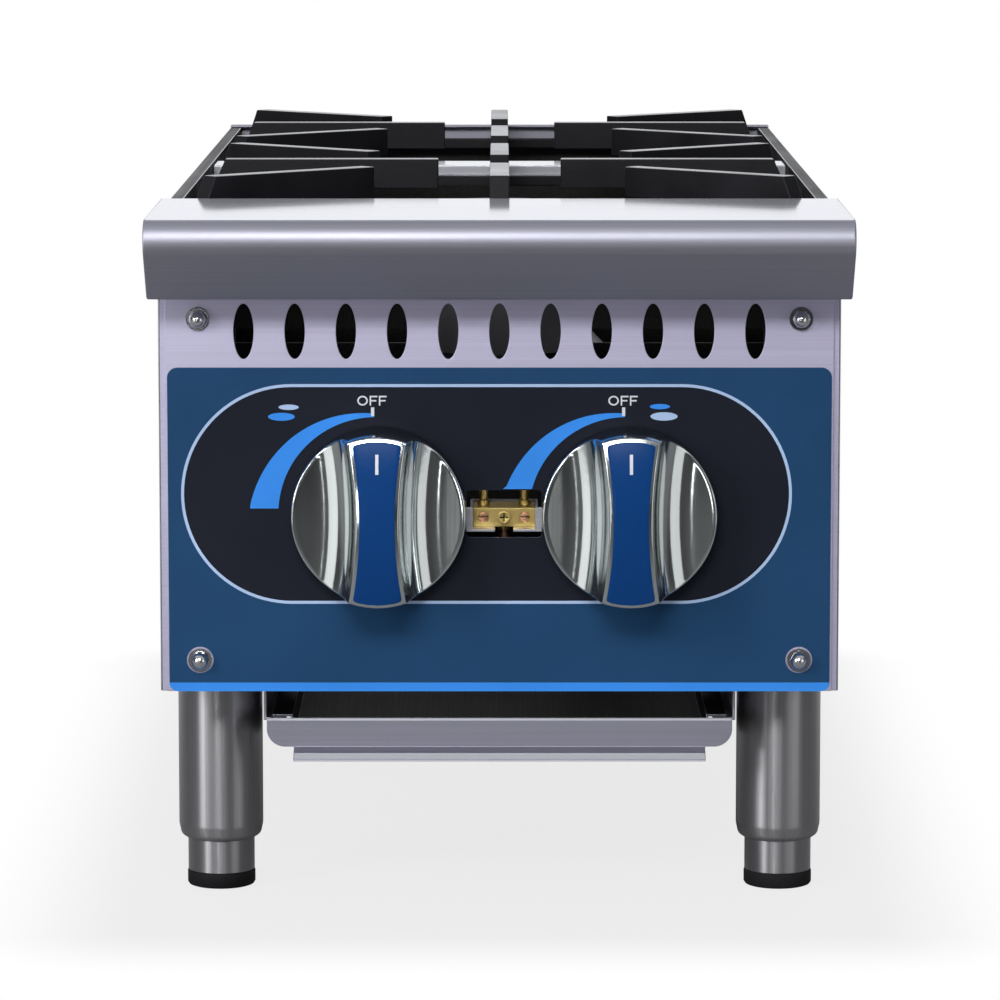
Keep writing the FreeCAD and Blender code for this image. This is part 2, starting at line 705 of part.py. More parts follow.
def make_front_ledge():
    """Folded ledge with a bullnose front, closed by welded end plates."""
    body = new_body("front_ledge")
    gauge = s.sheet
    nose_half_angle = (QUARTER_TURN - s.nose_slope) / 2
    nose_tip = nose_front + s.nose_radius - s.nose_radius / tangent(nose_half_angle)
    low = s.deck_height - s.nose_drop
    lower_edge = nose_tip + s.nose_drop * tangent(s.nose_slope)
    nose_inset = gauge / tangent(nose_half_angle)
    edge_inset = gauge * tangent(nose_half_angle)
    lip_low = s.deck_height - s.deck_lip
    section = new_sketch(body, "YZ_Plane")
    outline(section, (
        (deck_rear, deck_under), (deck_rear, s.deck_height), (nose_tip, s.deck_height, s.nose_radius),
        (lower_edge, low, 2 * gauge), (panel_front, low), (panel_front, low + gauge),
        (lower_edge + edge_inset, low + gauge, gauge),
        (nose_tip + nose_inset, deck_under, s.nose_radius - gauge)))
    pad(body, section, ledge_width, both=True)
    lip = new_sketch(body, "YZ_Plane")
    block(lip, deck_rear - gauge, deck_rear, lip_low, s.deck_height)
    pad(body, lip, 2 * (opening_half - s.divider_play), both=True)
    for side in (-1, 1):
        inset = ledge_width / 2 - gauge
        end = new_sketch(body, "YZ_Plane", lift=side * inset)
        outline(end, (
            (deck_rear, lip_low), (deck_rear, s.deck_height), (nose_tip, s.deck_height, s.nose_radius),
            (lower_edge, low, 2 * gauge), (panel_front, low), (panel_front, lip_low)))
        pad(body, end, gauge, back=side < 0)
    keep("front_ledge", body)


def make_knob(hand):
    """Round knob with a waisted grip bar across it, left standing by two finger scoops."""
    label = f"knob_{hand}"
    back = overlay_front - s.knob_gap
    x = knob_x[hand]
    z = control_height
    radius = s.knob_diameter / 2
    bore = s.stem_diameter / 2 + s.shaft_clearance
    body = new_body(f"{label}_turned", x, back, z, FRONT_VIEW)
    section = new_sketch(body, "XZ_Plane")
    hub = s.hub_diameter / 2
    outline(section, (
        (bore, 0), (hub, 0), (hub, s.knob_cavity), (radius - s.knob_wall, s.knob_cavity),
        (radius - s.knob_wall, 0), (radius, 0), (radius - s.knob_draft, s.knob_height), (0, s.knob_height),
        (0, s.stem_grip), (bore, s.stem_grip)))
    spin(body, section)
    sweep_axis = s.knob_waist / 2 + s.knob_side_radius
    top = s.knob_height + s.scoop_radius
    for way in (-1, 1):
        scoop = new_sketch(body, "XZ_Plane", shift_x=way * sweep_axis)
        wall = -way * s.knob_side_radius
        foot = way * s.scoop_draft - way * s.knob_side_radius
        rim = way * (radius + s.scoop_draft - sweep_axis)
        outline(scoop, ((wall, top), (foot, s.scoop_floor, s.scoop_radius), (rim, s.rim_height), (rim, top)))
        spin(body, scoop, "PartDesign::Groove")
    crown = place(sphere(s.knob_dome), x, back + s.knob_dome - s.knob_height, z)
    keep(label, common(body, crown))
    make_knob_inlay(hand, x, back, z, sweep_axis)


def make_knob_inlay(hand, x, back, z, sweep_axis):
    """Thin coloured strip that follows the crown of the grip bar."""
    label = f"knob_inlay_{hand}"
    body = new_body(f"{label}_strip", x, back, z, FRONT_VIEW)
    face = new_sketch(body, "XY_Plane")
    circle(face, 0, 0, s.knob_diameter - 2 * (s.knob_draft + s.inlay_margin))
    pad(body, face, s.knob_height + 2 * s.inlay_thickness)
    sides = new_sketch(body, "XY_Plane")
    for way in (-1, 1):
        circle(sides, way * sweep_axis, 0, 2 * (s.knob_side_radius + s.inlay_margin))
    cut_through(body, sides)
    middle_y = back + s.knob_dome - s.knob_height
    seat = s.knob_dome + s.inlay_bond
    outer = sphere(seat + s.inlay_thickness, x, middle_y, z)
    inner = sphere(seat, x, middle_y, z)
    keep(label, cut(common(body, outer), inner))


def make_valve(hand):
    """Gas tap on the manifold: brass body, turning stem with a flat, and the orifice hood behind it."""
    x = knob_x[hand]
    z = control_height
    middle = manifold_y
    body_front = middle - s.valve_length / 2
    bonnet_front = body_front - s.bonnet_length
    stem_back = bonnet_front + s.stem_seat
    turned = new_body(f"valve_body_{hand}", x, middle, z, FRONT_VIEW)
    section = new_sketch(turned, "XZ_Plane")
    outer = s.valve_diameter / 2
    bonnet = s.bonnet_diameter / 2
    bore = s.stem_diameter / 2 + s.shaft_clearance
    face = s.valve_length / 2
    outline(section, (
        (0, -face), (outer, -face), (outer, face), (bonnet, face), (bonnet, face + s.bonnet_length),
        (bore, face + s.bonnet_length), (bore, face + s.bonnet_length - s.stem_seat),
        (0, face + s.bonnet_length - s.stem_seat)))
    spin(turned, section)
    branch = new_sketch(turned, "XZ_Plane", lift=s.manifold_drop)
    circle(branch, 0, 0, s.spigot_diameter)
    pad(turned, branch, s.manifold_drop - outer / 2, back=True)
    seat = cylinder(s.manifold_diameter / 2, 2 * s.valve_diameter, x - s.valve_diameter, middle, manifold_z,
                    TO_RIGHT)
    keep(f"valve_body_{hand}", cut(turned, seat))
    stem = new_body(f"valve_stem_{hand}", x, stem_back, z, FRONT_VIEW)
    rod = new_sketch(stem, "XY_Plane")
    circle(rod, 0, 0, s.stem_diameter)
    knob_back = overlay_front - s.knob_gap
    length = stem_back - knob_back + s.stem_grip
    pad(stem, rod, length)
    flat = new_sketch(stem, "XY_Plane", lift=length)
    reach = s.stem_diameter / 2
    block(flat, -reach, reach, reach - s.stem_flat, reach + s.stem_flat)
    cut_deep(stem, flat, s.stem_grip)
    keep(f"valve_stem_{hand}", stem)
    hood_front = middle + s.valve_length / 2
    tip_front = hood_front + s.hood_length
    six = hexagon(s.hood_across, s.hood_length, x, hood_front, z, TO_BACK)
    tip = cone(s.hood_tip_root / 2, s.hood_tip_end / 2, s.hood_tip, x, tip_front, z, TO_BACK)
    bore_hole = cylinder(s.orifice_bore / 2, s.hood_length + s.hood_tip, x, hood_front, z, TO_BACK)
    keep(f"orifice_hood_{hand}", cut(fuse(six, tip), bore_hole))


def make_gas_pipes():
    """Manifold across the front, an elbow at its right end and the inlet pipe out through the back."""
    left_end = knob_x["left"] - s.manifold_end
    right_end = inlet_offset - s.elbow_bend
    length = right_end - left_end
    outer = cylinder(s.manifold_diameter / 2, length, left_end, manifold_y, manifold_z, TO_RIGHT)
    bore = cylinder(s.manifold_diameter / 2 - s.manifold_wall, length - s.manifold_wall,
                    left_end + s.manifold_wall, manifold_y, manifold_z, TO_RIGHT)
    keep("manifold_pipe", cut(outer, bore))
    elbow = new_body("inlet_elbow", right_end, manifold_y + s.elbow_bend, manifold_z)
    ring = new_sketch(elbow, "YZ_Plane")
    circle(ring, -s.elbow_bend, 0, s.elbow_diameter)
    circle(ring, -s.elbow_bend, 0, s.manifold_diameter - 2 * s.manifold_wall)
    spin(elbow, ring, angle=QUARTER_TURN)
    keep("inlet_elbow", elbow)
    pipe_front = manifold_y + s.elbow_bend
    run = rear_back + s.inlet_stub - pipe_front
    plain = run - s.thread_length
    outer = cylinder(s.inlet_diameter / 2, plain, inlet_offset, pipe_front, manifold_z, TO_BACK)
    thread = cylinder(s.thread_diameter / 2, run, inlet_offset, pipe_front, manifold_z, TO_BACK)
    inside = s.inlet_diameter / 2 - s.inlet_wall
    bore = cylinder(inside, run, inlet_offset, pipe_front, manifold_z, TO_BACK)
    keep("inlet_pipe", cut(fuse(outer, thread), bore))


def make_pilot_block():
    """Brass pilot valve behind the window, with its bracket, screws and supply tube."""
    x = s.pilot_offset
    z = pilot_axis
    front = manifold_y - s.pilot_depth / 2
    half_width = s.pilot_width / 2
    half_height = s.pilot_height / 2
    body = new_body("pilot_valve", x, front, z, FRONT_VIEW)
    face = new_sketch(body, "XY_Plane")
    block(face, -half_width, half_width, -half_height, half_height)
    pad(body, face, s.pilot_depth, back=True)
    nipples = new_sketch(body, "XZ_Plane", lift=-half_height)
    for side in (-1, 1):
        circle(nipples, side * s.pilot_screw_spread, -s.pilot_depth / 2, s.nipple_diameter)
    pad(body, nipples, s.nipple_length, back=True)
    lower = new_sketch(body, "XZ_Plane", lift=half_height)
    circle(lower, 0, -s.pilot_depth / 2, s.nipple_diameter)
    pad(body, lower, s.nipple_length)
    holes = new_sketch(body, "XY_Plane")
    for side in (-1, 1):
        circle(holes, side * s.pilot_screw_spread, 0, s.pilot_screw_diameter + 2 * s.shaft_clearance)
    cut_deep(body, holes, s.pilot_screw_length)
    keep("pilot_valve", body)
    make_pilot_bracket(x, z, front)
    for hand, side in knob_side.items():
        screw = new_body(f"pilot_screw_{hand}", x + side * s.pilot_screw_spread, front, z, FRONT_VIEW)
        shank = new_sketch(screw, "XY_Plane")
        circle(shank, 0, 0, s.pilot_screw_diameter)
        pad(screw, shank, s.pilot_screw_length, back=True)
        slot = new_sketch(screw, "XY_Plane")
        block(slot, -s.pilot_screw_diameter, s.pilot_screw_diameter, -s.pilot_slot / 2, s.pilot_slot / 2)
        cut_deep(screw, slot, s.pilot_slot)
        keep(f"pilot_screw_{hand}", screw)
    cover = new_body("pilot_cover_screw", x, front, z, FRONT_VIEW)
    head = new_sketch(cover, "XY_Plane")
    circle(head, 0, 0, s.cover_screw_diameter)
    pad(cover, head, s.cover_screw_height)
    cross = new_sketch(cover, "XY_Plane", lift=s.cover_screw_height)
    arm = s.cover_screw_diameter / 3
    thin = s.pilot_slot / 2
    outline(cross, (
        (-arm, -thin), (-thin, -thin), (-thin, -arm), (thin, -arm), (thin, -thin), (arm, -thin),
        (arm, thin), (thin, thin), (thin, arm), (-thin, arm), (-thin, thin), (-arm, thin)))
    cut_deep(cover, cross, s.cover_screw_height / 2)
    keep("pilot_cover_screw", cover)
    tube_top = z - half_height - s.nipple_length
    tube_low = manifold_z + s.manifold_diameter / 2
    outer = cylinder(s.tube_diameter / 2, tube_top - tube_low, x, manifold_y, tube_low)
    bore = cylinder(s.tube_bore / 2, tube_top - tube_low, x, manifold_y, tube_low)
    keep("pilot_supply_tube", cut(outer, bore))


def make_pilot_bracket(x, z, front):
    """Folded cradle behind the window: lips against the panel, sides and floor round the block."""
    body = new_body("pilot_bracket", x, panel_back, z, FRONT_VIEW)
    gauge = s.sheet
    outer = s.window_width / 2 + s.bracket_margin
    inner = s.pilot_width / 2 + gauge
    floor = -s.pilot_height / 2 - gauge
    gap = s.nipple_diameter / 2 + gauge
    lips = new_sketch(body, "XY_Plane")
    block(lips, -outer, -inner, floor, -floor)
    block(lips, inner, outer, floor, -floor)
    depth = front - panel_back + s.pilot_depth
    sides = new_sketch(body, "XY_Plane", lift=-depth)
    wall = inner - gauge
    outline(sides, ((-inner, floor), (-gap, floor), (-gap, floor + gauge), (-wall, floor + gauge),
                    (-wall, -floor), (-inner, -floor)))
    outline(sides, ((gap, floor), (inner, floor), (inner, -floor), (wall, -floor), (wall, floor + gauge),
                    (gap, floor + gauge)))
    back_wall = new_sketch(body, "XY_Plane", lift=-depth - gauge)
    block(back_wall, -inner, inner, floor, -floor)
    pad(body, back_wall, gauge)
    pad(body, sides, depth)
    pad(body, lips, gauge, back=True)
    keep("pilot_bracket", body)


def make_pilot_line(name, side, rise):
    """Bent tube from the pilot block to a small pilot head in front of a burner."""
    x = s.pilot_offset + side * s.pilot_screw_spread
    start = pilot_axis + s.pilot_height / 2 + s.nipple_length
    run = control_height + rise
    end_y = burner_y[name] - s.pilot_standoff
    top = bowl_top + s.head_rim - s.pilot_head_height
    body = new_body(f"pilot_tube_{name}", x)
    path = new_sketch(body, "YZ_Plane")
    outline(path, ((manifold_y, start), (manifold_y, run, s.tube_bend), (end_y, run, s.tube_bend),
                   (end_y, top)), closed=False)
    ring = new_sketch(body, "XY_Plane", lift=start)
    circle(ring, 0, manifold_y, s.tube_diameter)
    circle(ring, 0, manifold_y, s.tube_bore)
    doc.recompute()
    pipe(body, ring, path)
    keep(f"pilot_tube_{name}", body)
    head = new_body(f"pilot_head_{name}", x, end_y, top)
    section = new_sketch(head, "XZ_Plane")
    outer = s.pilot_head_diameter / 2
    bore = s.tube_bore / 2
    neck = s.tube_diameter / 2
    step = s.pilot_head_height / 2
    outline(section, ((bore, 0), (outer, 0), (outer, step), (neck, s.pilot_head_height),
                      (bore, s.pilot_head_height)))
    spin(head, section)
    keep(f"pilot_head_{name}", head)


def make_burner(name):
    """Cast bowl on a mixing tube that runs level from the valve, then bends in and up under the bowl."""
    x = burner_x[name]
    y = burner_y[name]
    across = -x
    up = bowl_bottom + s.bowl_floor / 2 - control_height
    lean = lean_of(across, up)
    reach = distance(across, up)
    solids = []
    bell_outside = s.bell_length + s.bell_floor
    for diameter, mouth, depth, stop in (
            (s.mixing_diameter, s.bell_diameter, bell_outside, reach),
            (s.mixing_bore, s.bell_bore, s.bell_length, reach + s.bowl_floor)):
        body = new_body(f"burner_{name}_tube", x, mouth_y, control_height,
                        FreeCAD.Rotation(FreeCAD.Vector(0, 1, 0), float(lean)))
        bind(body, Placement__Rotation__Angle=lean)
        path = new_sketch(body, "YZ_Plane")
        outline(path, ((0, 0), (y - mouth_y, 0, s.mixing_bend), (y - mouth_y, stop)), closed=False)
        ring = new_sketch(body, "XZ_Plane")
        circle(ring, 0, 0, diameter)
        doc.recompute()
        pipe(body, ring, path)
        bell = new_sketch(body, "XZ_Plane")
        circle(bell, 0, 0, mouth)
        pad(body, bell, depth, back=True)
        solids.append(body)
    bowl = cone(s.bowl_base / 2, s.bowl_diameter / 2, s.bowl_height, 0, y, bowl_bottom)
    hollow_height = s.bowl_height - s.bowl_floor
    rim = s.bowl_diameter / 2 - s.bowl_wall
    hollow = fuse(cone(s.bowl_base / 2 - s.bowl_wall, rim, hollow_height, 0, y, bowl_bottom + s.bowl_floor),
                  cylinder(rim, s.head_spigot, 0, y, bowl_top - s.head_spigot))
    windows = air_windows(x, s.bell_diameter)
    keep(f"burner_{name}", cut(cut(fuse(solids[0], bowl), fuse(solids[1], hollow)), windows))
    make_air_shutter(name, x)
    make_burner_head(name, y)
    make_burner_rail(name, y)


def air_windows(x, diameter):
    """Two openings opposite each other in the mouth of a mixing tube."""
    front = mouth_y + (s.shutter_length - s.air_window) / 2
    width = 2 * diameter
    return cuboid(width, s.air_window, s.air_window_height, x - diameter, front,
                  control_height - s.air_window_height / 2)


def make_air_shutter(name, x):
    """Sleeve that turns on the mouth of the mixing tube to open or close its air windows."""
    inner = s.bell_diameter / 2 + s.shaft_clearance
    sleeve = cylinder(inner + s.shutter_wall, s.shutter_length, x, mouth_y, control_height, TO_BACK)
    bore = cylinder(inner, s.shutter_length, x, mouth_y, control_height, TO_BACK)
    keep(f"air_shutter_{name}", cut(cut(sleeve, bore), air_windows(x, s.bell_diameter)))


def make_burner_head(name, y):
    """Lift-off cap with a ring of flame ports; its ring centres it in the bowl."""
    body = new_body(f"burner_head_{name}", 0, y, bowl_top)
    ring = s.bowl_diameter / 2 - s.bowl_wall - s.head_play
    inner = ring - s.head_wall
    outer = s.head_diameter / 2
    section = new_sketch(body, "XZ_Plane")
    outline(section, (
        (0, s.head_rim), (inner, s.head_rim), (inner, -s.head_spigot), (ring, -s.head_spigot), (ring, 0),
        (outer, 0), (outer, s.head_rim, s.head_wall), (inner, s.head_crown, s.head_rim), (0, s.head_crown)))
    spin(body, section)
    port = new_sketch(body, "XZ_Plane")
    block(port, -s.port_width / 2, s.port_width / 2, s.port_rise, s.port_rise + s.port_height)
    slot = cut_deep(body, port, s.head_diameter)
    ring_of(body, slot, port, s.port_count)
    keep(f"burner_head_{name}", body)


def make_burner_rail(name, y):
    """Flat bar on edge across the cabinet, with end tabs on the side panels; the bowl rests on it."""
    body = new_body(f"burner_rail_{name}")
    front = y + s.rail_offset
    length_half = half - s.sheet
    plan = new_sketch(body, "XY_Plane", lift=bowl_bottom - s.rail_height)
    tab = front + s.rail_tab
    inner = length_half - s.rail_gauge
    outline(plan, (
        (-length_half, front), (length_half, front), (length_half, tab), (inner, tab),
        (inner, front + s.rail_gauge), (-inner, front + s.rail_gauge), (-inner, tab), (-length_half, tab)))
    pad(body, plan, s.rail_height)
    keep(f"burner_rail_{name}", body)


def make_grate(name):
    """Cast grate: low frame, four long fingers to the middle and four short ones from the corners."""
    y = burner_y[name]
    body = new_body(f"grate_{name}", 0, y, seat_top)
    wide = opening_half - s.grate_play
    deep = grate_depth / 2
    bar = s.grate_bar
    rise = finger_top - seat_top
    tip_low = rise - s.finger_depth
    frame = new_sketch(body, "XY_Plane")
    corner = s.grate_corner
    outline(frame, ((-wide, -deep, corner), (wide, -deep, corner), (wide, deep, corner),
                    (-wide, deep, corner)))
    in_wide = wide - bar
    in_deep = deep - bar
    inside = corner - bar / 2
    outline(frame, ((-in_wide, -in_deep, inside), (in_wide, -in_deep, inside), (in_wide, in_deep, inside),
                    (-in_wide, in_deep, inside)))
    pad(body, frame, s.frame_height)
    corner_way = lean_of(deep, wide)
    reaches = []
    for turned in (0, HALF_TURN):
        reaches.append((turned, wide, s.finger_ring))
        reaches.append((turned + QUARTER_TURN, deep, s.finger_ring))
        for way in (turned + corner_way, turned - corner_way):
            reaches.append((way, distance(wide, deep) - corner / 4, s.corner_ring))
    for way, outer, ring in reaches:
        finger = new_sketch(body, "XZ_Plane", turn=way)
        outline(finger, (
            (outer - bar / 2, 0), (outer - bar / 2, s.frame_height), (outer - s.finger_shoulder, rise),
            (ring, rise), (ring, tip_low), (outer - 3 * s.finger_shoulder, tip_low),
            (outer - bar - s.finger_shoulder / 2, 0)))
        pad(body, finger, bar, both=True)
    keep(f"grate_{name}", body)


def make_grate_divider():
    """Bright channel across the top between the two grates."""
    front = burner_y["front"] + grate_depth / 2 + s.divider_gap
    rear = front + s.divider_width
    top = s.deck_height - s.divider_drop
    gauge = s.sheet
    body = new_body("grate_divider")
    section = new_sketch(body, "YZ_Plane")
    outline(section, (
        (front, seat_top), (front, top), (rear, top), (rear, seat_top), (rear - gauge, seat_top),
        (rear - gauge, top - gauge), (front + gauge, top - gauge), (front + gauge, seat_top)))
    pad(body, section, 2 * (opening_half - s.divider_play), both=True)
    keep("grate_divider", body)


def make_crumb_tray():
    """Shallow pull-out tray; its side folds run on the tray rails."""
    gauge = s.tray_gauge
    front = panel_front + s.tray_setback
    rear = rear_back - s.tray_rear_gap
    face_top = bottom - s.tray_face_top
    face_low = face_top - s.tray_face_height
    runner_low = bottom - s.rail_drop + s.sheet + s.tray_clearance
    wide = rail_spread - s.tray_side_gap
    wing = wide + s.tray_runner
    floor = face_low + gauge
    body = new_body("crumb_tray")
    section = new_sketch(body, "XZ_Plane", lift=-front - gauge)
    outline(section, (
        (-wide, floor), (wide, floor), (wide, runner_low), (wing, runner_low), (wing, runner_low + gauge),
        (wide - gauge, runner_low + gauge), (wide - gauge, floor + gauge), (gauge - wide, floor + gauge),
        (gauge - wide, runner_low + gauge), (-wing, runner_low + gauge), (-wing, runner_low),
        (-wide, runner_low)))
    pad(body, section, rear - front - gauge, back=True)
    back_wall = new_sketch(body, "XZ_Plane", lift=-rear)
    block(back_wall, -wide, wide, floor, runner_low)
    pad(body, back_wall, gauge)
    face = new_sketch(body, "XZ_Plane", lift=-front)
    side = rail_spread - s.tray_face_inset
    corner = s.tray_face_corner
    outline(face, ((-side, face_low, corner), (side, face_low, corner), (side, face_top), (-side, face_top)))
    pad(body, face, gauge, back=True)
    grip = new_sketch(body, "YZ_Plane")
    grip_low = face_low - s.tray_grip_height
    grip_front = front - s.tray_grip_reach
    outline(grip, (
        (front + gauge, face_low + corner), (front, face_low + corner), (front, face_low),
        (grip_front, grip_low + gauge), (grip_front, grip_low), (front + gauge, face_low - gauge / 2)))
    pad(body, grip, 2 * (side - s.tray_grip_inset), both=True)
    keep("crumb_tray", body)


def make_tray_rail(hand):
    """Folded rail under the base channels that one side of the tray slides in."""
    side = knob_side[hand]
    body = new_body(f"tray_rail_{hand}")
    gauge = s.sheet
    web = side * rail_spread
    inner = side * (rail_spread - gauge)
    leg = side * (rail_spread - s.rail_leg)
    top = floor_plate
    low = bottom - s.rail_drop
    front = panel_front + s.tray_setback + s.tray_gauge + s.tray_clearance
    section = new_sketch(body, "XZ_Plane", lift=-front)
    outline(section, ((web, low), (web, top), (leg, top), (leg, top - gauge), (inner, top - gauge),
                      (inner, low + gauge), (leg, low + gauge), (leg, low)))
    pad(body, section, rear_front - s.rail_rear_gap - front, back=True)
    keep(f"tray_rail_{hand}", body)


def make_leg(end, hand):
    """Tubular leg with a stud into the base channel, an adjustable foot and a rubber pad."""
    x = knob_side[hand] * leg_spread
    y = leg_y[end]
    outer = s.leg_diameter / 2
    foot = s.foot_diameter / 2
    bore = foot + s.shaft_clearance
    foot_top = s.pad_height + s.foot_show
    ceiling = foot_top + s.foot_engagement + s.sheet
    stud = s.stud_diameter / 2
    tube = new_body(f"leg_tube_{end}_{hand}", x, y)
    section = new_sketch(tube, "XZ_Plane")
    outline(section, (
        (bore, foot_top), (s.leg_mouth / 2, foot_top),
        (s.leg_knee / 2, foot_top + s.leg_knee_rise, s.leg_knee_radius),
        (outer, foot_top + s.leg_taper, s.leg_taper),
        (outer, bottom), (stud, bottom), (stud, bottom + s.stud_length), (0, bottom + s.stud_length),
        (0, ceiling), (bore, ceiling)))
    spin(tube, section)
    keep(f"leg_tube_{end}_{hand}", tube)
    post = new_body(f"leg_foot_{end}_{hand}", x, y)
    section = new_sketch(post, "XZ_Plane")
    top = foot_top + s.foot_engagement
    outline(section, ((0, s.pad_height), (foot, s.pad_height), (foot, top), (0, top)))
    spin(post, section)
    keep(f"leg_foot_{end}_{hand}", post)
    sole = new_body(f"foot_pad_{end}_{hand}", x, y)
    section = new_sketch(sole, "XZ_Plane")
    edge = s.pad_diameter / 2
    outline(section, ((0, 0), (edge, 0, s.sheet), (edge, s.pad_height), (0, s.pad_height)))
    spin(sole, section)
    keep(f"foot_pad_{end}_{hand}", sole)


def make_cabinet_screws():
    """Round-headed screws that hold the rear panel to the side panels' folds."""
    heads = []
    middle = (bottom + s.deck_height) / 2
    for side in (-1, 1):
        x = side * (half - s.screw_inset)
        for height in (bottom + 2 * s.screw_inset, middle, s.deck_height - 2 * s.screw_inset):
            disc = cylinder(s.screw_diameter / 2, s.screw_height, x, rear_back, height, TO_BACK)
            dome = sphere(s.screw_diameter / 2, x, rear_back + s.screw_height - s.screw_diameter / 2, height)
            heads.append(common(disc, dome))
    keep("cabinet_screws", group(heads))


def build():
    make_side_panel("left_side_panel", -1)
    make_side_panel("right_side_panel", 1)
    make_rear_panel()
    make_base_channel("base_front_channel", panel_back + s.channel_setback)
    make_base_channel("base_rear_channel", rear_front - s.channel_setback - s.channel_depth)
    make_front_panel()
    make_control_overlay()
    make_panel_nuts()
    make_front_ledge()
    for hand in knob_side:
        make_knob(hand)
        make_valve(hand)
        make_tray_rail(hand)
    make_gas_pipes()
    make_pilot_block()
    make_pilot_line("front", -1, s.front_tube_rise)
    make_pilot_line("rear", 1, s.rear_tube_rise)
    for name in burner_y:
        make_burner(name)
        make_grate(name)
    make_grate_divider()
    make_crumb_tray()
    for end in leg_y:
        for hand in knob_side:
            make_leg(end, hand)
    make_cabinet_screws()
    doc.recompute()


def check_and_write():
    """Stop on any failed feature or bad solid, then write one file for each piece."""
    for thing in doc.Objects:
        if "Invalid" in thing.State or "Error" in thing.State:
            raise SystemExit(f"{thing.Label}: {thing.State}")
    for label, thing in nodes.items():
        if thing.Shape.isNull() or not thing.Shape.isValid() or not thing.Shape.Solids:
            raise SystemExit(f"{label}: no valid solid")
    os.makedirs("parts", exist_ok=True)
    for label, thing in nodes.items():
        thing.Shape.exportStep(f"parts/{label}.step")
        size = thing.Shape.BoundBox
        print(f"{label}: {len(thing.Shape.Solids)} solid(s), {thing.Shape.Volume:.0f} mm3, "
              f"x {size.XMin:.1f} {size.XMax:.1f}, y {size.YMin:.1f} {size.YMax:.1f}, "
              f"z {size.ZMin:.1f} {size.ZMax:.1f}")


build()
check_and_write()
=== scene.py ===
"""Looks of the two-burner gas hot plate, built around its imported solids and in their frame.

Sizes of pieces are written in millimetres and made metres by MM; camera and lamps stand in metres.
"""

import json
import math

import bmesh
import bpy
from mathutils import Matrix, Vector


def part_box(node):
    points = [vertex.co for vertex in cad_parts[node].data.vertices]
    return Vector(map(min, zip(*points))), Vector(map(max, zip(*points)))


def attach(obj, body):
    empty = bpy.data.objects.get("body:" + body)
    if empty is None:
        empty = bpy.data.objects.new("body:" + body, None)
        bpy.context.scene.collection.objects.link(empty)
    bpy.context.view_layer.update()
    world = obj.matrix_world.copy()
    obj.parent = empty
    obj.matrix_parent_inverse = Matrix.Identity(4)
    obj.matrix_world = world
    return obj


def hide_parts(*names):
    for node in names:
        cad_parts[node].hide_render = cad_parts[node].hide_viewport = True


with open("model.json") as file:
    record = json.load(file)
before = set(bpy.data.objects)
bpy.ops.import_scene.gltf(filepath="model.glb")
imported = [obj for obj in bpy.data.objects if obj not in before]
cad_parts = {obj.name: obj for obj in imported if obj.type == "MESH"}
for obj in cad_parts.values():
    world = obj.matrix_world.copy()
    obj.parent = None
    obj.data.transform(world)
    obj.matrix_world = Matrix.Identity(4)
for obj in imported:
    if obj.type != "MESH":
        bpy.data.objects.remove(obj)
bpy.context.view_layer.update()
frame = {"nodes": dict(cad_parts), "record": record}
MM = 0.001


# Node helpers


def feed(tree, socket, value):
    """Link a socket to an output, or set it to a plain value."""
    if isinstance(value, bpy.types.NodeSocket):
        tree.links.new(value, socket)
    else:
        socket.default_value = value


def node(tree, kind, settings=None, values=None, **sockets):
    """A node with its settings made and its sockets fed, by name or in their order."""
    made = tree.nodes.new(kind)
    for name, value in (settings or {}).items():
        setattr(made, name, value)
    for name, value in sockets.items():
        feed(tree, made.inputs[name.replace("_", " ")], value)
    for i, value in enumerate(values or ()):
        if value is not None:
            feed(tree, made.inputs[i], value)
    return made


def math_node(tree, operation, first, second=None):
    return node(tree, "ShaderNodeMath", {"operation": operation}, (first, second)).outputs[0]


def vector_node(tree, operation, first, second=None, result="Vector"):
    return node(tree, "ShaderNodeVectorMath", {"operation": operation}, (first, second)).outputs[result]


def ramp(tree, value, start, end, low, high, course="LINEAR"):
    """A value that runs from low to high while another goes from start to end."""
    return node(tree, "ShaderNodeMapRange", {"interpolation_type": course}, Value=value, From_Min=start,
                From_Max=end, To_Min=low, To_Max=high).outputs["Result"]


def between(tree, factor, low, high):
    """A value that runs from low to high as the factor goes over its usual middle range."""
    return ramp(tree, factor, 0.3, 0.7, low, high)


def blend_colours(tree, factor, low, high):
    mix = node(tree, "ShaderNodeMix", {"data_type": "RGBA"})
    given = {"Factor_Float": factor, "A_Color": low, "B_Color": high}
    for socket in mix.inputs:
        if socket.identifier in given:
            feed(tree, socket, given[socket.identifier])
    return [socket for socket in mix.outputs if socket.identifier == "Result_Color"][0]


def new_group(name, inputs, outputs):
    """An empty shader group with named sockets, given as (name, socket type, default)."""
    tree = bpy.data.node_groups.new(name, "ShaderNodeTree")
    for label, kind, default in inputs:
        socket = tree.interface.new_socket(label, in_out="INPUT", socket_type=kind)
        socket.default_value = default
    for label in outputs:
        tree.interface.new_socket(label, in_out="OUTPUT", socket_type="NodeSocketFloat")
    return tree, tree.nodes.new("NodeGroupInput"), tree.nodes.new("NodeGroupOutput")


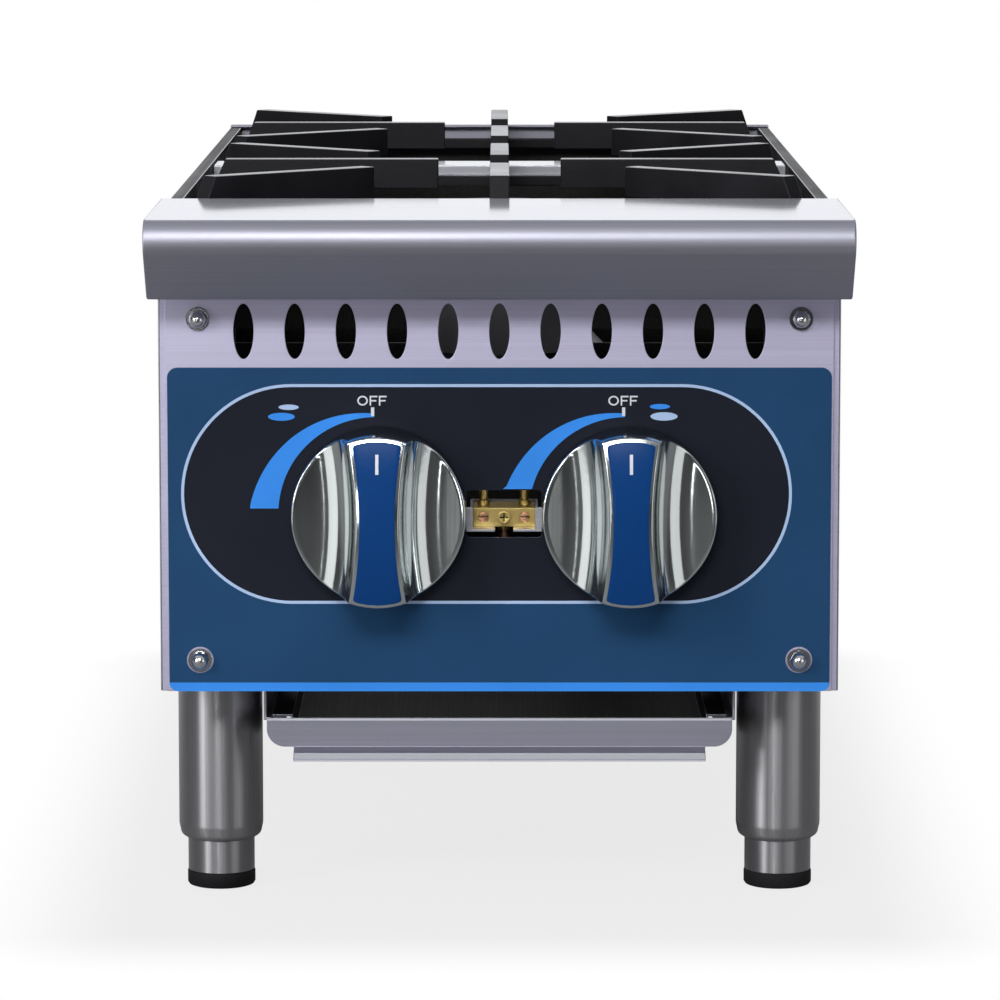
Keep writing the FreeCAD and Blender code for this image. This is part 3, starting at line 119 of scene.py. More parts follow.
def make_brushed_grain():
    """Fine streaks along the brushing and broad patches from wiping."""
    tree, given, result = new_group("Brushed grain", (
        ("Stretch", "NodeSocketVector", (6.0, 900.0, 900.0)),
        ("Patch Scale", "NodeSocketFloat", 7.0)), ("Streak", "Patch"))
    place = node(tree, "ShaderNodeTexCoord").outputs["Object"]
    drawn = vector_node(tree, "MULTIPLY", place, given.outputs["Stretch"])
    streak = node(tree, "ShaderNodeTexNoise", Vector=drawn, Scale=1.0, Detail=4.0, Roughness=0.65)
    patch = node(tree, "ShaderNodeTexNoise", Vector=place, Scale=given.outputs["Patch Scale"], Detail=3.0)
    tree.links.new(streak.outputs["Fac"], result.inputs["Streak"])
    tree.links.new(patch.outputs["Fac"], result.inputs["Patch"])
    return tree


def make_cast_skin():
    """Sand-cast grain with pits, and slow changes of tone."""
    tree, given, result = new_group("Cast skin", (
        ("Grain Scale", "NodeSocketFloat", 900.0),
        ("Pit Scale", "NodeSocketFloat", 260.0)), ("Height", "Patch"))
    place = node(tree, "ShaderNodeTexCoord").outputs["Object"]
    grain = node(tree, "ShaderNodeTexNoise", Vector=place, Scale=given.outputs["Grain Scale"], Detail=4.0)
    pits = node(tree, "ShaderNodeTexVoronoi", Vector=place, Scale=given.outputs["Pit Scale"])
    patch = node(tree, "ShaderNodeTexNoise", Vector=place, Scale=24.0, Detail=3.0)
    height = math_node(tree, "ADD", grain.outputs["Fac"], pits.outputs["Distance"])
    tree.links.new(height, result.inputs["Height"])
    tree.links.new(patch.outputs["Fac"], result.inputs["Patch"])
    return tree


BRUSHED_GRAIN = make_brushed_grain()
CAST_SKIN = make_cast_skin()


def placed_group(tree, group, **sockets):
    return node(tree, "ShaderNodeGroup", {"node_tree": group}, **sockets)


def new_material(name, **sockets):
    material = bpy.data.materials.new(name)
    material.use_nodes = True
    shader = material.node_tree.nodes["Principled BSDF"]
    for label, value in sockets.items():
        shader.inputs[label.replace("_", " ")].default_value = value
    return material, material.node_tree, shader


def raise_bump(tree, shader, height, strength, distance):
    bump = node(tree, "ShaderNodeBump", Strength=strength, Distance=distance, Height=height)
    tree.links.new(bump.outputs["Normal"], shader.inputs["Normal"])


def grey(level, tint=1.0):
    """A neutral colour, bluer where tint is above one."""
    return (level, level * (1 + tint) / 2 if tint < 1 else level, level * tint, 1.0)


def brushed_metal(name, stretch, dark, light, smooth, rough, bump, metallic=1.0):
    material, tree, shader = new_material(name, Metallic=metallic)
    grain = placed_group(tree, BRUSHED_GRAIN, Stretch=stretch)
    colour = blend_colours(tree, between(tree, grain.outputs["Streak"], 0.0, 1.0), dark, light)
    tree.links.new(colour, shader.inputs["Base Color"])
    mixed = math_node(tree, "ADD", grain.outputs["Streak"], grain.outputs["Patch"])
    tree.links.new(ramp(tree, mixed, 0.7, 1.3, smooth, rough), shader.inputs["Roughness"])
    raise_bump(tree, shader, grain.outputs["Streak"], bump, 0.05 * MM)
    return material


def stretch_highlights(material, way, amount):
    """Highlights drawn out along one direction, across the marks that polishing leaves."""
    tree = material.node_tree
    shader = tree.nodes["Principled BSDF"]
    shader.inputs["Anisotropic"].default_value = amount
    tree.links.new(node(tree, "ShaderNodeCombineXYZ", None, way).outputs[0], shader.inputs["Tangent"])


def cast_metal(name, dark, light, smooth, rough, bump, metallic=0.0, shine=0.5):
    material, tree, shader = new_material(name, Metallic=metallic, Specular_IOR_Level=shine)
    skin = placed_group(tree, CAST_SKIN)
    colour = blend_colours(tree, between(tree, skin.outputs["Patch"], 0.0, 1.0), dark, light)
    tree.links.new(colour, shader.inputs["Base Color"])
    tree.links.new(between(tree, skin.outputs["Patch"], smooth, rough), shader.inputs["Roughness"])
    raise_bump(tree, shader, skin.outputs["Height"], bump, 0.2 * MM)
    return material


def wear_ground_faces(material):
    """Bare metal where the mesh says that the casting is ground."""
    tree = material.node_tree
    shader = tree.nodes["Principled BSDF"]
    ground = node(tree, "ShaderNodeAttribute", {"attribute_name": "ground"}).outputs["Fac"]
    skin = shader.inputs["Base Color"].links[0].from_socket
    tree.links.new(blend_colours(tree, ground, skin, grey(0.34, 1.03)), shader.inputs["Base Color"])
    rough = shader.inputs["Roughness"].links[0].from_socket
    smooth = math_node(tree, "MULTIPLY", ground, 0.22)
    tree.links.new(math_node(tree, "SUBTRACT", rough, smooth), shader.inputs["Roughness"])
    tree.links.new(ground, shader.inputs["Metallic"])


def printed_ink(name, colour, rough, mottle=0.06, shine=0.06):
    """Screen print on a fine-grained film."""
    material, tree, shader = new_material(name, Specular_IOR_Level=shine)
    skin = placed_group(tree, CAST_SKIN, Grain_Scale=1400.0, Pit_Scale=700.0)
    darker = tuple(part * (1 - mottle) for part in colour) + (1.0,)
    lighter = tuple(part * (1 + mottle) for part in colour) + (1.0,)
    tree.links.new(blend_colours(tree, between(tree, skin.outputs["Patch"], 0.0, 1.0), darker, lighter),
                   shader.inputs["Base Color"])
    tree.links.new(between(tree, skin.outputs["Patch"], rough - 0.04, rough + 0.04),
                   shader.inputs["Roughness"])
    raise_bump(tree, shader, skin.outputs["Height"], 0.08, 0.05 * MM)
    return material


ALONG_X = (5.0, 1100.0, 1100.0)
ALONG_Y = (1100.0, 5.0, 1100.0)
ALONG_Z = (1100.0, 1100.0, 5.0)

PANEL_STEEL = brushed_metal("panel steel", ALONG_X, (0.57, 0.55, 0.72, 1), (0.65, 0.63, 0.81, 1),
                            0.49, 0.56, 0.05)
# Darker copy of the panel steel: painted shade that keeps the ledge's nose dark below; the rear panel wears
# it too.
LEDGE_STEEL = brushed_metal("ledge steel", ALONG_X, (0.41, 0.41, 0.48, 1), (0.47, 0.47, 0.55, 1),
                            0.48, 0.55, 0.04)
# Light lavender, half-metallic copy of the sheet steel: a painted sheen for the deck, the divider and lit
# folds.
SHEEN_STEEL = brushed_metal("painted sheen steel", ALONG_X, (0.86, 0.88, 0.95, 1), (0.91, 0.93, 0.99, 1),
                           0.11, 0.16, 0.02, metallic=0.4)
TRAY_STEEL = brushed_metal("tray steel", ALONG_X, (0.33, 0.33, 0.40, 1), (0.38, 0.38, 0.46, 1),
                           0.54, 0.62, 0.05)
SIDE_STEEL = brushed_metal("side steel", ALONG_Y, grey(0.50, 1.07), grey(0.58, 1.08), 0.26, 0.36, 0.05)
LEG_STEEL = brushed_metal("leg steel", ALONG_Z, grey(0.37, 1.04), grey(0.46, 1.05), 0.32, 0.38, 0.03)
stretch_highlights(LEG_STEEL, (0.0, 0.0, 1.0), 0.8)
# Near-black steel: painted shade, laid on insides, recesses and hidden edges so that they come out dark.
SHADE_STEEL = brushed_metal("painted shade steel", ALONG_Y, grey(0.02, 0.95), grey(0.045, 0.95), 0.4, 0.6, 0.06)
ZINC = brushed_metal("zinc sheet", ALONG_X, grey(0.44, 1.08), grey(0.56, 1.1), 0.34, 0.5, 0.10)
COPPER = brushed_metal("copper alloy", ALONG_X, (0.58, 0.28, 0.14, 1), (0.78, 0.44, 0.26, 1),
                       0.25, 0.4, 0.15)
CHROME = brushed_metal("bright chrome", ALONG_Z, (0.66, 0.70, 0.70, 1), (0.72, 0.76, 0.76, 1),
                       0.09, 0.15, 0.02)
NUT_CHROME = cast_metal("plated nut", grey(0.70, 1.04), grey(0.74, 1.04), 0.09, 0.10, 0.0, metallic=1.0)
BRASS = cast_metal("cast brass", (0.56, 0.40, 0.10, 1), (0.86, 0.66, 0.26, 1),
                   0.30, 0.45, 0.3, metallic=1.0)
GRATE_IRON = cast_metal("black cast grate", (0.006, 0.006, 0.008, 1), (0.013, 0.013, 0.017, 1),
                        0.45, 0.6, 0.2, shine=0.25)
wear_ground_faces(GRATE_IRON)
BURNER_IRON = cast_metal("bare casting", (0.36, 0.36, 0.39, 1), (0.52, 0.52, 0.55, 1),
                         0.45, 0.7, 0.4, metallic=0.3)
PIPE_BLACK = cast_metal("black pipe", (0.02, 0.02, 0.022, 1), (0.045, 0.045, 0.05, 1), 0.4, 0.6, 0.1)
RUBBER = cast_metal("black rubber", (0.006, 0.006, 0.007, 1), (0.013, 0.013, 0.015, 1),
                    0.6, 0.8, 0.15, shine=0.2)
OVERLAY_BLUE = printed_ink("overlay blue", (0.018, 0.065, 0.155), 0.36)
FIELD_BLACK = printed_ink("field black", (0.0152, 0.0176, 0.0273), 0.36)
LINE_LAVENDER = printed_ink("line lavender", (0.434, 0.578, 0.831), 0.4)
BRIGHT_BLUE = printed_ink("bright blue", (0.048, 0.280, 0.86), 0.4)
INK_WHITE = printed_ink("white print", (0.72, 0.74, 0.80), 0.4)
INLAY_BLUE = printed_ink("inlay blue", (0.006, 0.050, 0.20), 0.25)

SLOT_FINISH = {
    "cabinet_steel": PANEL_STEEL, "zinc_sheet": ZINC, "leg_steel": LEG_STEEL, "overlay_print": OVERLAY_BLUE,
    "nut_chrome": NUT_CHROME, "knob_chrome": CHROME, "inlay_blue": INLAY_BLUE, "valve_brass": BRASS,
    "screw_copper": COPPER, "gas_pipe": PIPE_BLACK, "burner_iron": BURNER_IRON, "grate_iron": GRATE_IRON,
    "foot_rubber": RUBBER,
}
slot_of = {row["node"]: row["material_slot"] for row in frame["record"]["subparts"]}
for name, solid in frame["nodes"].items():
    for place in solid.material_slots:
        place.material = SLOT_FINISH[slot_of[name]]


# Shape helpers

CREASE = 35
SHARP = 40
dressed = {"control_overlay"}  # solids that need no softened copy


def shade_smooth(mesh, crease=CREASE):
    """Smooth shading but for edges sharper than the crease angle."""
    mesh.polygons.foreach_set("use_smooth", [True] * len(mesh.polygons))
    mesh.set_sharp_from_angle(angle=math.radians(crease))


def mesh_from(name, shape, *materials, crease=CREASE):
    """Turn a built shape into a smoothly shaded mesh."""
    mesh = bpy.data.meshes.new(name)
    shape.to_mesh(mesh)
    shape.free()
    for material in materials:
        mesh.materials.append(material)
    shade_smooth(mesh, crease)
    return mesh


def put(name, mesh, body, slot, *nodes):
    """Show a mesh as a piece on a body, in place of the named solids."""
    piece = bpy.data.objects.new(name, mesh)
    bpy.context.scene.collection.objects.link(piece)
    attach(piece, body)
    if nodes:
        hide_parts(*nodes)
        dressed.update(nodes)


def evaluated_mesh(name, data, add_modifiers=None):
    """The mesh that a curve, or a mesh with modifiers, comes to."""
    carrier = bpy.data.objects.new(name, data)
    bpy.context.scene.collection.objects.link(carrier)
    if add_modifiers:
        add_modifiers(carrier)
    graph = bpy.context.evaluated_depsgraph_get()
    result = bpy.data.meshes.new_from_object(carrier.evaluated_get(graph))
    result.name = name
    bpy.data.objects.remove(carrier)
    return result


def joined_copy(node_name):
    """A solid's mesh with its loose triangles joined and its flat faces made whole."""
    shape = bmesh.new()
    shape.from_mesh(frame["nodes"][node_name].data)
    bmesh.ops.remove_doubles(shape, verts=shape.verts, dist=0.001 * MM)
    bmesh.ops.dissolve_limit(shape, angle_limit=math.radians(0.5), verts=shape.verts, edges=shape.edges)
    return shape


def face_outward(shape):
    bmesh.ops.recalc_face_normals(shape, faces=shape.faces)


def split_at(shape, spot, way):
    """Cut the faces along a plane, so that each side of it can have its own finish."""
    bmesh.ops.bisect_plane(shape, geom=shape.verts[:] + shape.edges[:] + shape.faces[:],
                           plane_co=spot, plane_no=way)


def soften_edges(shape, edge):
    """Round the sharp edges over."""
    sharp = [line for line in shape.edges
             if len(line.link_faces) == 2 and line.calc_face_angle() > math.radians(SHARP)]
    bmesh.ops.bevel(shape, geom=sharp, offset=edge * MM, segments=2, profile=0.5, affect="EDGES",
                    clamp_overlap=False)


def even_faces(mesh):
    """The mesh with its flat faces shaded flat up to their rounded edges."""

    def weigh(carrier):
        weighted = carrier.modifiers.new("even faces", "WEIGHTED_NORMAL")
        weighted.keep_sharp = True

    return evaluated_mesh(mesh.name, mesh, weigh)


def body_of(node_name):
    bodies = frame["record"]["behaviour"]["bodies"]
    return [body for body, members in bodies.items() if node_name in members][0]


def show_copy(node_name, shape, edge, *materials):
    """Show a worked copy of a solid in its place, with rounded edges."""
    soften_edges(shape, edge)
    mesh = even_faces(mesh_from(f"{node_name}_shown", shape, *materials))
    put(f"{node_name}_shown", mesh, body_of(node_name), slot_of[node_name], node_name)


def softened(node_name, material, edge):
    """A solid shown with rounded edges and smooth curves."""
    show_copy(node_name, joined_copy(node_name), edge, material)


def bridge(shape, first, second):
    """Faces between two rings with as many points."""
    for i in range(len(first)):
        j = (i + 1) % len(first)
        shape.faces.new((first[i], first[j], second[j], second[i]))


def lay_faces(shape, rows):
    """Faces between neighbouring rows of points."""
    for low, high in zip(rows, rows[1:]):
        for j in range(len(low) - 1):
            shape.faces.new((low[j], low[j + 1], high[j + 1], high[j]))


def fold_back(shape, depth):
    """Walls that run back from the open border of a sheet."""
    border = [line for line in shape.edges if len(line.link_faces) == 1]
    made = bmesh.ops.extrude_edge_only(shape, edges=border)
    for item in made["geom"]:
        if isinstance(item, bmesh.types.BMVert):
            item.co.y += depth * MM
    face_outward(shape)


def ring_at(shape, place, radius, height, count):
    """A ring of points about local Z, or one point where there is no radius."""
    ring = []
    for i in range(count if radius else 1):
        angle = 2 * math.pi * i / count
        spot = Vector((radius * math.cos(angle), radius * math.sin(angle), height)) * MM
        ring.append(shape.verts.new(place @ spot))
    return ring


def turned(shape, profile, place, segments=64):
    """Add a shape turned about local Z from (radius, height) points; an end on the axis is closed."""
    rings = [ring_at(shape, place, radius, height, segments) for radius, height in profile]
    for low, high in zip(rings, rings[1:]):
        for i in range(segments):
            j = (i + 1) % segments
            corners = [low[i % len(low)], low[j % len(low)], high[j % len(high)], high[i % len(high)]]
            whole = list(dict.fromkeys(corners))
            if len(whole) > 2:
                shape.faces.new(whole)


def rounded(points, steps=6):
    """A run of (x, y) points whose corners that carry a radius (x, y, radius) are drawn as arcs."""
    run = []
    for i, point in enumerate(points):
        if len(point) == 2:
            run.append((point[0], point[1]))
            continue
        spot = Vector(point[:2])
        back = (Vector(points[i - 1][:2]) - spot).normalized()
        ahead = (Vector(points[(i + 1) % len(points)][:2]) - spot).normalized()
        half = back.angle(ahead) / 2
        middle = spot + (back + ahead).normalized() * (point[2] / math.sin(half))
        first = spot + back * (point[2] / math.tan(half)) - middle
        last = spot + ahead * (point[2] / math.tan(half)) - middle
        sweep = first.angle_signed(last)
        for step in range(steps + 1):
            turn = -sweep * step / steps
            run.append(tuple(middle + Matrix.Rotation(turn, 2) @ first))
    return run


FACING_FRONT = Matrix.Rotation(math.radians(90), 4, "X")
FACING_BACK = Matrix.Rotation(math.radians(-90), 4, "X")


def at(x, y, z, turn=None):
    return Matrix.Translation(Vector((x, y, z)) * MM) @ (turn or Matrix.Identity(4))


def make_rows_tree():
    """Geometry nodes that set one shape out in rows, with named inputs for the counts and pitches."""
    tree = bpy.data.node_groups.new("Set out in rows", "GeometryNodeTree")
    tree.interface.new_socket("Shape", in_out="INPUT", socket_type="NodeSocketGeometry")
    for label, kind, default in (
            ("Columns", "NodeSocketInt", 2), ("Rows", "NodeSocketInt", 2),
            ("Column Pitch", "NodeSocketFloat", 0.1), ("Row Pitch", "NodeSocketFloat", 0.1),
            ("Tilt", "NodeSocketVector", (0.0, 0.0, 0.0)), ("Centre", "NodeSocketVector", (0.0, 0.0, 0.0)),
            ("Finish", "NodeSocketMaterial", None)):
        socket = tree.interface.new_socket(label, in_out="INPUT", socket_type=kind)
        if default is not None:
            socket.default_value = default
    tree.interface.new_socket("Shape", in_out="OUTPUT", socket_type="NodeSocketGeometry")
    given = tree.nodes.new("NodeGroupInput").outputs
    sizes = []
    for count, pitch in (("Columns", "Column Pitch"), ("Rows", "Row Pitch")):
        gaps = math_node(tree, "SUBTRACT", given[count], 1.0)
        sizes.append(math_node(tree, "MULTIPLY", gaps, given[pitch]))
    grid = node(tree, "GeometryNodeMeshGrid", Size_X=sizes[0], Size_Y=sizes[1],
                Vertices_X=given["Columns"], Vertices_Y=given["Rows"]).outputs["Mesh"]
    spots = node(tree, "GeometryNodeTransform", Geometry=grid, Translation=given["Centre"],
                 Rotation=given["Tilt"]).outputs["Geometry"]
    copies = node(tree, "GeometryNodeInstanceOnPoints", Points=spots,
                  Instance=given["Shape"]).outputs["Instances"]
    real = node(tree, "GeometryNodeRealizeInstances", Geometry=copies).outputs["Geometry"]
    done = node(tree, "GeometryNodeSetMaterial", Geometry=real, Material=given["Finish"])
    tree.links.new(done.outputs["Geometry"], tree.nodes.new("NodeGroupOutput").inputs["Shape"])
    return tree


ROWS_TREE = make_rows_tree()
UPRIGHT_ROWS = (math.pi / 2, 0.0, 0.0)
LEVEL_ROWS = (0.0, 0.0, 0.0)


def set_out(name, mesh, columns, rows, column_pitch, row_pitch, tilt, centre, material):
    """One shape repeated in rows and made one mesh."""
    values = {"Columns": columns, "Rows": rows, "Column Pitch": column_pitch * MM,
              "Row Pitch": row_pitch * MM, "Tilt": tilt, "Centre": tuple(part * MM for part in centre),
              "Finish": material}

    def add_rows(carrier):
        rows_modifier = carrier.modifiers.new("rows", "NODES")
        rows_modifier.node_group = ROWS_TREE
        for item in ROWS_TREE.interface.items_tree:
            if item.in_out == "INPUT" and item.name in values:
                rows_modifier[item.identifier] = values[item.name]

    result = evaluated_mesh(name, mesh, add_rows)
    shade_smooth(result)
    return result


# Cabinet

PANEL_FRONT = -305
REAR_PANEL_BACK = 331
# Width of the painted shade strip along the outer front edge of each side panel.
EDGE_SHADE_STRIP = 0.7


def make_panels():
    """Folded sheets: bright brushed outside, painted shade inside and on a thin strip along the outer front
    edges.
    """
    for node_name, outward in (("left_side_panel", -1), ("right_side_panel", 1)):
        shape = joined_copy(node_name)
        low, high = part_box(node_name)
        corner = (low.x if outward < 0 else high.x) - outward * EDGE_SHADE_STRIP * MM
        split_at(shape, (corner, 0, 0), (1, 0, 0))
        # Outside: side steel; front edge within the strip: panel steel; insides, other edges and the outer
        # strip: painted shade.
        for face in shape.faces:
            middle = face.calc_center_median()
            if face.normal.x * outward > 0.7:
                face.material_index = 0
            elif face.normal.y < -0.7 and middle.y < low.y + 1 * MM and (middle.x - corner) * outward < 0:
                face.material_index = 2
            else:
                face.material_index = 1
        show_copy(node_name, shape, 0.4, SIDE_STEEL, SHADE_STEEL, PANEL_STEEL)
    shape = joined_copy("rear_panel")
    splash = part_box("grate_rear")[0].z
    split_at(shape, (0, 0, splash), (0, 0, 1))
    # The rear panel's inner faces below the grates get painted shade.
    for face in shape.faces:
        inside = face.normal.y < 0.7 and face.calc_center_median().z < splash
        face.material_index = 1 if inside else 0
    show_copy("rear_panel", shape, 0.4, LEDGE_STEEL, SHADE_STEEL)
    softened("front_panel", PANEL_STEEL, 0.3)
    # The grate divider wears the painted sheen steel.
    softened("grate_divider", SHEEN_STEEL, 0.4)
    # Base channels and burner rails carry painted shade, so that the views under the tray and through the
    # vents stay dark.
    for node_name, edge in (("base_front_channel", 0.3), ("base_rear_channel", 0.3),
                            ("burner_rail_front", 0.05), ("burner_rail_rear", 0.05)):
        softened(node_name, SHADE_STEEL, edge)


def make_tray():
    """Crumb tray: brushed front with a painted highlight on its top fold and lower lip, and painted shade in
    the pan.
    """
    shape = joined_copy("crumb_tray")
    face_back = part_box("tray_rail_left")[0].y - 0.3 * MM
    lip_edge, fold_edge, face_top = 66.7 * MM, 80.8 * MM, 82 * MM
    # Cut off the lower lip and the top fold, which carry the painted highlight.
    for level in (lip_edge, fold_edge):
        split_at(shape, (0, 0, level), (0, 0, 1))
    for face in shape.faces:
        middle = face.calc_center_median()
        # Pan: painted shade; lower lip and top fold: painted highlight in the sheen steel; the rest: tray
        # steel.
        if middle.y > face_back or middle.z > face_top + 0.01 * MM:
            face.material_index = 1
        else:
            face.material_index = 2 if middle.z < lip_edge or middle.z > fold_edge else 0
    show_copy("crumb_tray", shape, 0.3, TRAY_STEEL, SHADE_STEEL, SHEEN_STEEL)


LEDGE_HALF = 152.5
LEDGE_PLATE = 1.2
LEDGE_ROUND = 0.8
CHEEK_LOW = 299
DECK_TOP = 309
DECK_REAR = -228
NOSE_FRONT = -355
NOSE_LOW = 273
NOSE_ROUND = 9
NOSE_LEAN = math.radians(44)


def ledge_run(inset):
    """The ledge's outline from the deck's rear edge over the nose to the panel, moved in by inset (y, z)."""
    half = (math.pi / 2 - NOSE_LEAN) / 2
    tip = NOSE_FRONT + NOSE_ROUND - NOSE_ROUND / math.tan(half)
    lower = tip + (DECK_TOP - NOSE_LOW) * math.tan(NOSE_LEAN)
    return rounded(((DECK_REAR, DECK_TOP - inset),
                    (tip + inset / math.tan(half), DECK_TOP - inset, NOSE_ROUND - inset),
                    (lower + inset * math.tan(half), NOSE_LOW + inset, 2.4 - inset),
                    (PANEL_FRONT, NOSE_LOW + inset)), 16)


def make_ledge():
    """Folded ledge with its nose, a rounded cheek at each end and a lip along the deck's rear edge."""
    shape = bmesh.new()

    def loop_at(run, x):
        return [shape.verts.new(Vector((x, y, z)) * MM) for y, z in run]

    sheet = ledge_run(0) + ledge_run(LEDGE_PLATE)[::-1]
    reach = LEDGE_HALF - LEDGE_PLATE
    ends = [loop_at(sheet, -reach), loop_at(sheet, reach)]
    bridge(shape, *ends)
    for end in ends:
        shape.faces.new(end)
    cheek = ledge_run(0) + [(PANEL_FRONT, CHEEK_LOW), (DECK_REAR, CHEEK_LOW)]
    middle = Vector((sum(y for y, z in cheek) / len(cheek), sum(z for y, z in cheek) / len(cheek)))
    for side in (-1, 1):
        loops = [loop_at(cheek, side * reach)]
        for step in range(5):
            turn = math.pi / 2 * step / 4
            draw_in = LEDGE_ROUND * (1 - math.cos(turn))
            out = LEDGE_HALF - LEDGE_ROUND * (1 - math.sin(turn))
            drawn = []
            for y, z in cheek:
                toward = (middle - Vector((y, z))).normalized() * draw_in
                drawn.append((y + toward.x, z + toward.y))
            loops.append(loop_at(drawn, side * out))
        for first, second in zip(loops, loops[1:]):
            bridge(shape, first, second)
        shape.faces.new(loops[0])
        shape.faces.new(loops[-1])
    face_outward(shape)
    lip_ends = [corner.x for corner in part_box("grate_divider")]
    corners = [(x, y * MM, z * MM) for x in lip_ends for y in (DECK_REAR - LEDGE_PLATE, DECK_REAR)
               for z in (CHEEK_LOW, DECK_TOP - LEDGE_PLATE)]
    made = bmesh.ops.create_cube(shape, size=1)
    for vert, corner in zip(made["verts"], corners):
        vert.co = corner
    face_outward(shape)
    # Upward faces of the ledge get the painted sheen; the rest of the sheet the darker ledge steel.
    for face in shape.faces:
        face.material_index = 1 if face.normal.z > 0.97 else 0
    mesh = mesh_from("ledge", shape, LEDGE_STEEL, SHEEN_STEEL, crease=30)
    put("ledge", mesh, "chassis", "cabinet_steel", "front_ledge")


def make_nuts():
    """Dome nuts on washers, two by two on the front panel."""
    shape = bmesh.new()
    washer = ((0, 0), (5.0, 0), (5.3, 0.2), (5.3, 0.75), (5.05, 1.0), (3.4, 1.0), (3.3, 1.0), (0, 1.0))
    turned(shape, washer, FACING_FRONT, 32)
    hexagon = [ring_at(shape, FACING_FRONT, radius, height, 6)
               for radius, height in ((4.0, 1.0), (4.0, 3.2), (3.75, 3.6))]
    for low, high in zip(hexagon, hexagon[1:]):
        bridge(shape, low, high)
    shape.faces.new(hexagon[0][::-1])
    shape.faces.new(hexagon[-1])
    dome = [(3.7 * math.cos(a), 3.6 + 3.7 * math.sin(a)) for a in (math.pi / 2 * i / 8 for i in range(8))]
    turned(shape, [(0, 3.2), (3.7, 3.2)] + dome + [(0, 7.3)], FACING_FRONT, 32)
    face_outward(shape)
    mesh = mesh_from("panel nut", shape, NUT_CHROME)
    whole = set_out("dome_nuts", mesh, 2, 2, 264, 151, UPRIGHT_ROWS, (0, PANEL_FRONT, 186.5), NUT_CHROME)
    put("dome_nuts", whole, "chassis", "nut_chrome", "panel_nuts")


def make_rear_screws():
    """Pan-head cross-recess screws in two columns on the rear panel."""
    shape = bmesh.new()
    dome = [(4.0 * math.cos(a), 0.7 + 1.3 * math.sin(a)) for a in (math.pi / 2 * i / 6 for i in range(1, 6))]
    turned(shape, [(0, 0), (4.0, 0), (4.0, 0.7)] + dome + [(0, 2.0)], FACING_BACK, 32)
    face_outward(shape)
    cutter = bmesh.new()
    for width, height in ((3.6, 0.9), (0.9, 3.6)):
        made = bmesh.ops.create_cube(cutter, size=1)
        for vert in made["verts"]:
            vert.co = Vector((vert.co.x * width, 2.0 + vert.co.y * 2.2, vert.co.z * height)) * MM
    tool = bpy.data.objects.new("driver", mesh_from("driver", cutter))
    bpy.context.scene.collection.objects.link(tool)

    def cut_recess(carrier):
        recess = carrier.modifiers.new("recess", "BOOLEAN")
        recess.operation = "DIFFERENCE"
        recess.solver = "EXACT"
        recess.use_self = True
        recess.object = tool

    one = evaluated_mesh("rear screw", mesh_from("rear screw", shape, NUT_CHROME), cut_recess)
    bpy.data.objects.remove(tool)
    whole = set_out("rear_screws", one, 2, 3, 281, 88, UPRIGHT_ROWS, (0, REAR_PANEL_BACK, 203),
                    NUT_CHROME)
    put("rear_screws", whole, "chassis", slot_of["cabinet_screws"], "cabinet_screws")


# Knobs

KNOBS = (("left", -53), ("right", 57))
KNOB_AXIS = 176
KNOB_RADIUS = 38.8
KNOB_BACK = -306.4
KNOB_DRAFT = 1.8
KNOB_EDGE = 0.9
KNOB_TOP = 36.5
KNOB_HOLLOW, HOLLOW_DEPTH = 35.8, 5
HUB_RADIUS, STEM_RADIUS, STEM_DEPTH = 10, 4.1, 19.9
CROWN = 139.0
WAIST = 9.5
SIDE_CURVE = 184.0
SIDE_LEAN = 1.2
SCOOP_ROUND = 14.0
SCOOP_LOW = 8.0
SCOOP_RISE = 7.0 / 29.0


def knob_spot(x, u, v, w):
    """A place on a knob in metres: across, up and out from its back, drawn in by the lean of the rim."""
    away = min(1.0, math.hypot(u, v) / KNOB_RADIUS)
    drawn = 1 - KNOB_DRAFT * w / KNOB_TOP / KNOB_RADIUS * away ** 4
    return Vector((x + u * drawn, KNOB_BACK - w, KNOB_AXIS + v * drawn)) * MM


def crown_height(u, v):
    return KNOB_TOP - CROWN + math.sqrt(CROWN * CROWN - u * u - v * v)


def grip_half(v):
    """Half the grip bar's width at height v above the knob's axis."""
    return WAIST + SIDE_CURVE - math.sqrt(SIDE_CURVE * SIDE_CURVE - v * v)


def resampled(run, count):
    """The run of points again with even spacing."""
    spans = [math.dist(a, b) for a, b in zip(run, run[1:])]
    total = sum(spans)
    result = [run[0]]
    for k in range(1, count - 1):
        left = total * k / (count - 1)
        for a, b, span in zip(run, run[1:], spans):
            if left <= span or (a, b) == (run[-2], run[-1]):
                share = min(1.0, left / span) if span else 0.0
                result.append((a[0] + (b[0] - a[0]) * share, a[1] + (b[1] - a[1]) * share))
                break
            left -= span
    return result + [run[-1]]


